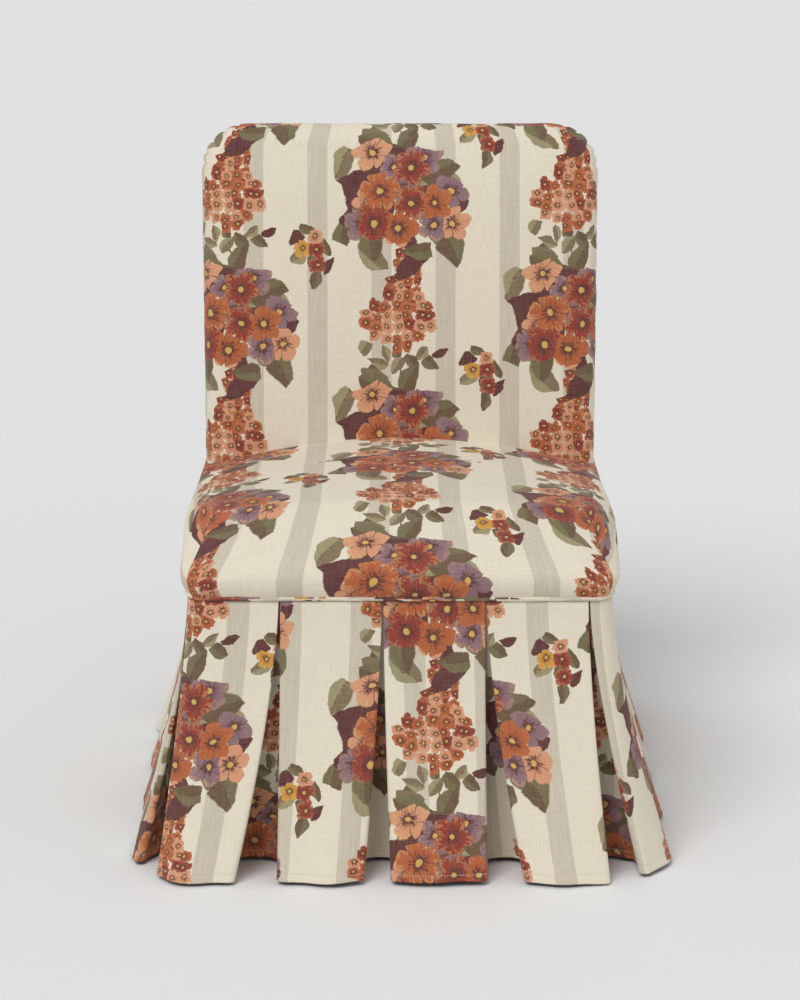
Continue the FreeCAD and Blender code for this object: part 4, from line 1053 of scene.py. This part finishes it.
def leaf_field():
    """Pointed leaves: half width = (1 - along squared) times (0.48 + 0.14 along), along from -1 to 1 on a
    bent rib. One half is darker, and the rib and veins are dark."""
    tree, w, start, end = group_tree("Leaves", FIELD, [("Colour", "c")])
    offset, chance, inside = scattered(w, start, 0.8)
    turned = w.node("ShaderNodeVectorRotate", rotation_type="Z_AXIS")
    w.feed(turned.inputs["Vector"], offset)
    w.feed(turned.inputs["Angle"], w.math("MULTIPLY", chance[0], 2 * math.pi))
    x, y, _ = w.parts(turned.outputs[0])
    size = w.math("MULTIPLY", start["Size"], w.math("MULTIPLY_ADD", chance[1], 0.4, 0.75))
    along = w.math("DIVIDE", x, size)
    bend = w.math("MULTIPLY", w.math("MULTIPLY", along, along), 0.16)
    across = w.math("SUBTRACT", w.math("DIVIDE", y, size), bend)
    width = w.math("MULTIPLY", w.math("SUBTRACT", 1.0, w.math("MULTIPLY", along, along)),
                   w.math("MULTIPLY_ADD", along, 0.14, 0.48))
    gap = w.math("SUBTRACT", width, w.math("ABSOLUTE", across))
    cover = w.math("MULTIPLY", w.ease(gap, -0.02, 0.04), inside)
    tone = chosen(w, start, chance[2])
    grain = w.noise(start["Place"], 210.0, 2.0, 0.6, "2D")[0]
    shade = w.mix(0.5, tone, start["Dark"])
    tone = w.mix(w.ease(w.math("MULTIPLY_ADD", across, 2.2, grain), 0.47, 0.60), tone, shade)
    vein = w.wave(w.joined(w.math("SUBTRACT", along, w.math("ABSOLUTE", across)), 0.0), 2.6, "X")
    lines = w.math("MAXIMUM", w.ease(w.math("ABSOLUTE", across), 0.055, 0.02), w.ease(vein, 0.93, 1.0))
    tone = w.mix(w.math("MULTIPLY", lines, 0.45), tone, start["Dark"])
    w.feed(end["Colour"], w.mix(cover, start["Below"], tone))
    return tree


REPEAT_WIDTH = 0.24
REPEAT_HEIGHT = 0.34


def repeat_place():
    """The place inside one repeat, in metres from a motif's middle, in columns that are each set half a
    repeat lower than the last."""
    tree, w, start, end = group_tree("Half drop repeat", [("Cloth", "v"), ("Middle", "v")],
                                     [("Place", "v")])
    half_x, half_y = REPEAT_WIDTH / 2, REPEAT_HEIGHT / 2
    x, y, _ = w.parts(w.vector("SUBTRACT", start["Cloth"], start["Middle"]))
    column = w.math("FLOOR", w.math("ADD", w.math("DIVIDE", x, REPEAT_WIDTH), 0.5))
    lowered = w.math("MULTIPLY_ADD", w.math("MODULO", w.math("ABSOLUTE", column), 2.0), half_y, y)
    w.feed(end["Place"], w.joined(w.math("WRAP", x, half_x, -half_x),
                                  w.math("WRAP", lowered, half_y, -half_y)))
    return tree


# Middles of the print's three motifs in the repeat, and its layers from the lowest up: kind, motif, its
# oval's middle and half sizes, pitch, size of one leaf or flower, three colours and the pattern's shift
MOTIFS = {"spray": (0.002, 0.172, 0.0), "sprig": (0.121, 0.088, 0.0), "posy": (0.0, 0.0, 0.0)}
LAYERS = (
    ("leaf", "spray", (0.0, -0.055), (0.058, 0.036), 0.023, 0.0180, ("olive", "plum", "sage"), (0.31, 0.17)),
    ("blossom", "spray", (0.004, 0.046), (0.022, 0.054), 0.0125, 0.0096, ("rust", "brick", "brick"),
     (0.22, 0.43)),
    ("blossom", "spray", (-0.004, -0.002), (0.048, 0.044), 0.0150, 0.0118, ("brick", "rust", "salmon"),
     (0.52, 0.83)),
    ("leaf", "sprig", (0.0, 0.0), (0.036, 0.042), 0.026, 0.0180, ("olive", "sage", "plum"), (0.77, 0.41)),
    ("blossom", "sprig", (0.0, 0.006), (0.022, 0.030), 0.021, 0.0130, ("salmon", "brick", "gold"),
     (0.13, 0.57)),
    ("leaf", "posy", (0.0, 0.0), (0.098, 0.108), 0.046, 0.0350, ("olive", "plum", "sage"), (0.23, 0.61)),
    ("leaf", "posy", (0.0, 0.0), (0.082, 0.088), 0.044, 0.0330, ("plum", "olive", "plum"), (0.93, 0.35)),
    ("blossom", "posy", (0.0, 0.0), (0.086, 0.084), 0.045, 0.0265, ("gold", "salmon", "mauve"),
     (0.47, 0.19)),
    ("blossom", "posy", (0.0, 0.0), (0.064, 0.068), 0.047, 0.0310, ("brick", "rust", "brick"),
     (0.66, 0.72)),
)
PRINT_WOBBLE = 0.010
PRINT_SHIVER = 0.0022


def stem_mark(w, spray):
    """1 on the spray's stem, a thin line bent in a sine, and 0 beside it."""
    x, y, _ = w.parts(spray)
    bend = w.math("MULTIPLY", w.math("SINE", w.math("MULTIPLY", y, 38.0)), 0.006)
    stem = w.math("ABSOLUTE", w.math("SUBTRACT", x, bend))
    reach = w.math("LESS_THAN", w.math("ABSOLUTE", w.math("ADD", y, 0.012)), 0.078)
    return w.math("MULTIPLY", w.ease(stem, 0.0015, 0.0008), reach)


def print_on(w, look, uv, base):
    """Lays the print over a colour, a little wobbly, as ink on coarse threads is."""
    wobble = w.vector("SUBTRACT", w.noise(uv, 42.0, 2.0)["Color"], (0.5, 0.5, 0.5))
    shiver = w.vector("SUBTRACT", w.noise(uv, 420.0, 1.0)["Color"], (0.5, 0.5, 0.5))
    drawn = w.vector("ADD", uv, w.vector("SCALE", wobble, scale=PRINT_WOBBLE))
    drawn = w.vector("ADD", drawn, w.vector("SCALE", shiver, scale=PRINT_SHIVER))
    kinds, repeat = {"blossom": blossom_field(), "leaf": leaf_field()}, repeat_place()
    spots = {key: grouped(w, repeat, Cloth=drawn, Middle=middle)[0] for key, middle in MOTIFS.items()}
    base = w.mix(stem_mark(w, spots["spray"]), base, look.olive)
    for kind, motif, middle, oval, pitch, size, names, shift in LAYERS:
        moved = w.vector("ADD", spots[motif], shift + (0.0,))
        centre = (middle[0] + shift[0], middle[1] + shift[1], 0.0)
        first, second, third = (getattr(look, key) for key in names)
        base = grouped(w, kinds[kind], Place=moved, Middle=centre, Oval=oval + (1.0,), Pitch=pitch,
                       Size=size, Colour_A=first, Colour_B=second, Colour_C=third, Dark=look.line,
                       Below=base)[0]
    return base


def printed_cloth(look):
    """Cream linen with a soft greige stripe and a generic print of flowers, leaves and sprays, a twill
    relief and a row of stitches above the hem."""
    material, w, shader = new_material("printed_cloth", look.ground)
    uv = w.node("ShaderNodeUVMap", uv_map="cloth").outputs[0]
    x = w.parts(uv)[0]
    half_pitch, half_width, soft = look.stripe_pitch / 2, look.stripe_width / 2, 0.0005
    across = w.math("WRAP", w.math("ADD", x, look.stripe_shift), half_pitch, -half_pitch)
    stripe = w.ease(w.math("ABSOLUTE", across), half_width + soft, half_width - soft)
    threads = w.noise(w.vector("MULTIPLY", uv, (900.0, 14.0, 1.0)), 1.0, 1.0)[0]
    stripe = w.math("MULTIPLY", stripe, w.ease(threads, 0.15, 0.62, 0.55, 0.95))
    base = print_on(w, look, uv, w.mix(stripe, look.ground, look.stripe))
    weft = w.noise(w.vector("MULTIPLY", uv, (40.0, 1300.0, 1.0)), 1.0, 2.0)[0]
    warp = w.noise(w.vector("MULTIPLY", uv, (1300.0, 40.0, 1.0)), 1.0, 2.0)[0]
    slub = w.math("MULTIPLY", w.math("ADD", weft, warp), 0.5)
    base = w.mix(w.ease(slub, 0.36, 0.64, 0.0, 0.16), base, w.mix(0.5, base, look.ground))
    base = w.mix(w.ease(slub, 0.58, 0.40, 0.0, 0.10), base, look.line)
    above_floor = w.parts(w.node("ShaderNodeTexCoord").outputs["Object"])[2]
    off_seam = w.math("ABSOLUTE", w.math("SUBTRACT", above_floor, look.hem_seam))
    dashes = w.ease(w.math("COSINE", w.math("MULTIPLY", x, 2 * math.pi / look.stitch)), -0.3, 0.1)
    seam = w.math("MULTIPLY", w.ease(off_seam, 0.0010, 0.0004), dashes)
    w.feed(shader.inputs["Base Color"], w.mix(w.math("MULTIPLY", seam, 0.55), base, look.stripe))
    twill = w.wave(uv, 620.0, "DIAGONAL")
    height = w.math("ADD", w.math("MULTIPLY", twill, 0.35), slub)
    height = w.math("SUBTRACT", height, w.math("MULTIPLY", w.ease(off_seam, 0.0016, 0.0004), 1.2))
    bumped(w, shader, height, 0.0004, 0.55)
    shader.inputs["Roughness"].default_value = 0.88
    shader.inputs["Specular IOR Level"].default_value = 0.25
    shader.inputs["Sheen Weight"].default_value = 0.10
    shader.inputs["Sheen Roughness"].default_value = 0.5
    return material


def material_named(name, make):
    """The chair's own material of this name, made once."""
    return bpy.data.materials.get("chair_" + name) or make()


def cloth_material():
    """The printed cloth in the scene's colours."""
    return printed_cloth(bpy.context.scene.chair_look)


# Materials on Object coordinates

def lining_material():
    """Near-black plain weave."""
    material, w, shader = new_material("dark_lining", (0.02, 0.018, 0.02, 1))
    place = w.node("ShaderNodeTexCoord").outputs["Object"]
    weave = w.math("MULTIPLY", w.wave(place, 500.0, "X"), w.wave(place, 500.0, "Z"))
    cloud = w.noise(place, 24.0, 3.0)[0]
    tone = w.mix(cloud, (0.016, 0.014, 0.016, 1), (0.040, 0.036, 0.040, 1))
    w.feed(shader.inputs["Base Color"], tone)
    bumped(w, shader, weave, 0.0003, 0.5)
    shader.inputs["Roughness"].default_value = 0.9
    return material


def rough_cloth(name, dark, light, pitch):
    """A coarse plain weave of two crossed sets of threads, light on the threads and dark between."""
    material, w, shader = new_material(name, light)
    place = w.node("ShaderNodeTexCoord").outputs["Object"]
    scale = 1.0 / pitch / 3.2
    weave = w.math("MULTIPLY", w.wave(place, scale, "X", 0.6), w.wave(place, scale, "Y", 0.6))
    cloud = w.noise(place, 60.0, 4.0)[0]
    tone = w.mix(w.ease(w.math("ADD", weave, cloud), 0.45, 1.1), dark, light)
    w.feed(shader.inputs["Base Color"], tone)
    bumped(w, shader, weave, 0.0006, 0.6)
    shader.inputs["Roughness"].default_value = 0.9
    return material


def wood_material():
    """Sawn hardwood: bent rings drawn out along Z, and short dark pores."""
    material, w, shader = new_material("hardwood", colour(182, 148, 108))
    place = w.node("ShaderNodeTexCoord").outputs["Object"]
    drawn = w.vector("MULTIPLY", place, (1.0, 1.0, 0.25))
    warp = w.noise(drawn, 9.0, 3.0)[0]
    bent = w.vector("ADD", drawn, w.vector("SCALE", w.joined(warp, warp, 0.0), scale=0.05))
    rings = w.wave(bent, 26.0, "X", 2.0)
    pores = w.noise(w.vector("MULTIPLY", place, (1.0, 1.0, 0.06)), 900.0, 2.0)[0]
    tone = w.mix(rings, colour(166, 128, 88), colour(200, 166, 124))
    tone = w.mix(w.ease(pores, 0.62, 0.72, 0.0, 0.5), tone, colour(120, 86, 56))
    w.feed(shader.inputs["Base Color"], tone)
    bumped(w, shader, pores, 0.0003, 0.4)
    shader.inputs["Roughness"].default_value = 0.6
    return material


def steel_material():
    """Zinc plate with a fine spangle."""
    material, w, shader = new_material("zinc_steel", colour(196, 198, 200))
    place = w.node("ShaderNodeTexCoord").outputs["Object"]
    spangle = w.node("ShaderNodeTexVoronoi")
    w.feed(spangle.inputs["Vector"], place)
    w.feed(spangle.inputs["Scale"], 260.0)
    tone = w.mix(spangle.outputs["Color"], colour(182, 186, 190), colour(214, 216, 216))
    w.feed(shader.inputs["Base Color"], tone)
    w.feed(shader.inputs["Roughness"], w.ease(w.noise(place, 300.0, 3.0)[0], 0.3, 0.7, 0.28, 0.5))
    shader.inputs["Metallic"].default_value = 1.0
    return material


def plain_material(name, dark, light, scale, rough, height=0.0004):
    """Two close tones in clouds, with a fine grain."""
    material, w, shader = new_material(name, light)
    place = w.node("ShaderNodeTexCoord").outputs["Object"]
    cloud = w.noise(place, scale, 4.0, 0.6)[0]
    grain = w.noise(place, scale * 9.0, 2.0)[0]
    w.feed(shader.inputs["Base Color"], w.mix(w.ease(w.blend(0.4, cloud, grain), 0.35, 0.65), dark, light))
    bumped(w, shader, grain, height, 0.5)
    shader.inputs["Roughness"].default_value = rough
    return material


def foam_material():
    """Open cells, darker between them."""
    material, w, shader = new_material("foam", colour(240, 230, 196))
    place = w.node("ShaderNodeTexCoord").outputs["Object"]
    cells = w.node("ShaderNodeTexVoronoi")
    w.feed(cells.inputs["Vector"], place)
    w.feed(cells.inputs["Scale"], 700.0)
    tone = w.mix(cells.outputs["Distance"], colour(246, 238, 208), colour(222, 206, 164))
    w.feed(shader.inputs["Base Color"], tone)
    bumped(w, shader, cells.outputs["Distance"], 0.0006, 0.7)
    shader.inputs["Roughness"].default_value = 0.95
    return material


# How each material slot of the frame is made: clouds and weaves by their two tones, grain and so on
CLOUDS = {
    "glide_nylon": ((92, 86, 80), (118, 112, 104), 120.0, 0.5),
    "wadding": ((226, 226, 220), (247, 247, 243), 90.0, 1.0, 0.0012),
    "card": ((140, 116, 88), (172, 148, 116), 70.0, 0.85),
}
WEAVES = {
    "jute_webbing": ((140, 116, 80), (196, 170, 126), 0.0024),
    "burlap": ((132, 108, 74), (200, 176, 132), 0.0016),
    "cotton_cord": ((206, 198, 178), (236, 230, 214), 0.0012),
}
OTHERS = {"hardwood": wood_material, "zinc_steel": steel_material, "foam": foam_material,
          "dark_lining": lining_material, "printed_cloth": cloth_material}


def slot_material(slot):
    """The material of one of the frame's slots, made once."""
    def make():
        if slot in OTHERS:
            return OTHERS[slot]()
        table, maker = (CLOUDS, plain_material) if slot in CLOUDS else (WEAVES, rough_cloth)
        dark, light, *rest = table[slot]
        return maker(slot, colour(*dark), colour(*light), *rest)
    return material_named(slot, make)


# Stage: the floor's half size, the camera's distance and aim in metres, its tilt in degrees, its lens in
# millimetres and its shift, the sky's strength, and each lamp's strength, spread and turn in degrees

FLOOR_REACH = 30.0
CAMERA_DISTANCE = 4.0
CAMERA_AIM = 0.430
CAMERA_TILT = 15.3
CAMERA_LENS = 106.1
CAMERA_SHIFT = -0.017
SKY_STRENGTH = 0.47
LAMPS = (("key", 1.48, 34.0, (38.0, 0.0, -32.0)), ("fill", 0.30, 90.0, (50.0, 0.0, 60.0)))


def paint_sky(world, look):
    """An even white light on the chair, seen by the camera and in gloss as the backdrop's colour."""
    world.use_nodes = True
    world.node_tree.nodes.clear()
    w = Wiring(world.node_tree)
    ray = w.node("ShaderNodeLightPath").outputs
    seen = w.math("MAXIMUM", w.math("MAXIMUM", ray["Is Camera Ray"], ray["Is Glossy Ray"]),
                  ray["Is Transmission Ray"])
    sky, plain = w.node("ShaderNodeBackground"), w.node("ShaderNodeBackground")
    w.feed(sky.inputs["Color"], (1, 1, 1, 1))
    w.feed(sky.inputs["Strength"], SKY_STRENGTH)
    w.feed(plain.inputs["Color"], look.floor)
    either = w.node("ShaderNodeMixShader")
    w.feed(either.inputs[0], seen)
    w.feed(either.inputs[1], sky.outputs[0])
    w.feed(either.inputs[2], plain.outputs[0])
    w.feed(w.node("ShaderNodeOutputWorld").inputs[0], either.outputs[0])


def make_floor(look):
    """A wide plain floor in the backdrop's colour."""
    reach = FLOOR_REACH
    mesh = bpy.data.meshes.new("floor")
    mesh.from_pydata([(-reach, -reach, 0), (reach, -reach, 0), (reach, reach, 0), (-reach, reach, 0)],
                     [], [(0, 1, 2, 3)])
    floor = bpy.data.objects.new("floor", mesh)
    bpy.context.collection.objects.link(floor)
    material, _, shader = new_material("floor", look.floor)
    shader.inputs["Base Color"].default_value = look.floor
    shader.inputs["Roughness"].default_value = 1.0
    shader.inputs["Specular IOR Level"].default_value = 0.0
    mesh.materials.append(material)


# Operators

class CHAIR_OT_frame_finishes(bpy.types.Operator):
    """Gives the frame, webbing, padding and hardware their materials"""
    bl_idname = "chair.frame_finishes"
    bl_label = "Frame Finishes"

    def execute(self, context):
        for row in frame["record"]["subparts"]:
            part = frame["nodes"][row["node"]]
            part.data.materials.clear()
            part.data.materials.append(slot_material(row["material_slot"]))
        return {"FINISHED"}


class CHAIR_OT_seat(bpy.types.Operator):
    """Makes the seat's cover and the padding under it"""
    bl_idname = "chair.seat"
    bl_label = "Seat Cover"

    def execute(self, context):
        seat, back, _, _ = settings()
        grid, cloth, ids = seat_grid(seat, back)
        piece = surface("seat_upholstery", grid, cloth, ids, pole=True)
        finish_piece(piece, slot_material("printed_cloth"), "printed_cloth", "seat_cover")
        grid, cloth, ids = seat_grid(seat, back, PADDING_INSET)
        padding = surface("seat_padding", grid, cloth, ids, pole=True)
        finish_piece(padding, slot_material("wadding"), "wadding", "seat_wadding", "seat_foam")
        return {"FINISHED"}


class CHAIR_OT_back(bpy.types.Operator):
    """Makes the inside and outside covers of the back and the padding between them"""
    bl_idname = "chair.back"
    bl_label = "Back Covers"

    def execute(self, context):
        seat, back, _, _ = settings()
        grid, cloth = inside_back_grid(seat, back)
        inside = surface("inside_back_upholstery", grid, cloth, inward=True)
        finish_piece(inside, slot_material("printed_cloth"), "printed_cloth", "inside_back_cover")
        grid, cloth = inside_back_grid(seat, back, PADDING_INSET)
        padding = surface("back_padding", grid, cloth, inward=True)
        finish_piece(padding, slot_material("wadding"), "wadding", "back_wadding", "back_foam")
        grid, cloth = outside_back_grid(seat, back)
        outside = surface("outside_back_upholstery", grid, cloth, inward=True)
        finish_piece(outside, slot_material("printed_cloth"), "printed_cloth", "outside_back_cover")
        return {"FINISHED"}


class CHAIR_OT_welt(bpy.types.Operator):
    """Makes the covered cord round the seat"""
    bl_idname = "chair.welt"
    bl_label = "Welt"

    def execute(self, context):
        seat = settings()[0]
        grid, cloth, ids = welt_grid(seat)
        piece = surface("welt", grid, cloth, ids, inward=True)
        finish_piece(piece, slot_material("printed_cloth"), "printed_cloth", "welt_cover")
        return {"FINISHED"}


class CHAIR_OT_skirt(bpy.types.Operator):
    """Makes the four lengths of the pleated skirt and their lining"""
    bl_idname = "chair.skirt"
    bl_label = "Pleated Skirt"

    def execute(self, context):
        seat, _, skirt, _ = settings()
        first = -SKIRT_SIDES[0][1] // 2
        for name, count in SKIRT_SIDES:
            grid, cloth = skirt_grid(seat, skirt, first, first + count)
            piece = surface(name + "_length", grid, cloth, inward=True)
            thicken(piece, SKIRT_CLOTH)
            finish_piece(piece, slot_material("printed_cloth"), "printed_cloth", name)
            first += count
        first = -SKIRT_SIDES[0][1] // 2
        grid, cloth = skirt_grid(seat, skirt, first, first + skirt.pleats, LINING_BEHIND, LINING_TOP,
                                 LINING_LONGER)
        grid[:, -1] = grid[:, 0]
        lining = surface("skirt_lining_length", grid, cloth, inward=True)
        finish_piece(lining, slot_material("dark_lining"), "dark_lining", "skirt_lining")
        return {"FINISHED"}


class CHAIR_OT_dust_cover(bpy.types.Operator):
    """Makes the dark cloth under the seat"""
    bl_idname = "chair.dust_cover"
    bl_label = "Dust Cover"

    def execute(self, context):
        seat = settings()[0]
        grid, cloth = dust_cover_grid(seat)
        piece = surface("dust_cover_sheet", grid, cloth, inward=True)
        thicken(piece, DUST_CLOTH)
        finish_piece(piece, slot_material("dark_lining"), "dark_lining", "dust_cover")
        return {"FINISHED"}


class CHAIR_OT_stage(bpy.types.Operator):
    """Makes the floor, the light and the camera"""
    bl_idname = "chair.stage"
    bl_label = "Stage"

    def execute(self, context):
        look = settings()[3]
        scene = context.scene
        make_floor(look)
        scene.world = scene.world or bpy.data.worlds.new("World")
        paint_sky(scene.world, look)
        for name, strength, spread, turn in LAMPS:
            lamp = bpy.data.lights.new(name, "SUN")
            lamp.energy = strength
            lamp.angle = math.radians(spread)
            item = bpy.data.objects.new(name, lamp)
            item.rotation_euler = [math.radians(a) for a in turn]
            context.collection.objects.link(item)
        distance, tilt = CAMERA_DISTANCE, math.radians(CAMERA_TILT)
        camera = bpy.data.objects.new("camera", bpy.data.cameras.new("camera"))
        camera.location = (0.0, -distance * math.cos(tilt), CAMERA_AIM + distance * math.sin(tilt))
        camera.rotation_euler = (math.pi / 2 - tilt, 0.0, 0.0)
        camera.data.sensor_width = 36.0
        camera.data.lens = CAMERA_LENS
        camera.data.shift_y = CAMERA_SHIFT
        camera.data.clip_end = 200.0
        context.collection.objects.link(camera)
        scene.camera = camera
        scene.view_settings.view_transform = "Standard"
        return {"FINISHED"}


class CHAIR_PT_panel(bpy.types.Panel):
    """Pieces of the slipper chair"""
    bl_idname = "CHAIR_PT_panel"
    bl_label = "Slipper Chair"
    bl_space_type = "VIEW_3D"
    bl_region_type = "UI"
    bl_category = "Slipper Chair"

    def draw(self, context):
        for kind in PIECES:
            self.layout.operator(kind.bl_idname)
        for group in settings():
            box = self.layout.box()
            for key in type(group).__annotations__:
                box.prop(group, key)


PIECES = (CHAIR_OT_frame_finishes, CHAIR_OT_seat, CHAIR_OT_back, CHAIR_OT_welt, CHAIR_OT_skirt,
          CHAIR_OT_dust_cover, CHAIR_OT_stage)
GROUPS = (("chair_seat", ChairSeatSizes), ("chair_back", ChairBackSizes),
          ("chair_skirt", ChairSkirtSizes), ("chair_look", ChairLook))


def register():
    """Adds the settings and operators."""
    for name, kind in GROUPS:
        bpy.utils.register_class(kind)
        setattr(bpy.types.Scene, name, bpy.props.PointerProperty(type=kind))
    for kind in PIECES + (CHAIR_PT_panel,):
        bpy.utils.register_class(kind)


def unregister():
    """Takes them away again."""
    for kind in (CHAIR_PT_panel,) + PIECES[::-1]:
        bpy.utils.unregister_class(kind)
    for name, kind in GROUPS[::-1]:
        delattr(bpy.types.Scene, name)
        bpy.utils.unregister_class(kind)


def main():
    """Makes the whole chair."""
    register()
    bpy.ops.chair.frame_finishes()
    bpy.ops.chair.seat()
    bpy.ops.chair.back()
    bpy.ops.chair.welt()
    bpy.ops.chair.skirt()
    bpy.ops.chair.dust_cover()
    bpy.ops.chair.stage()


if __name__ == "__main__":
    main()
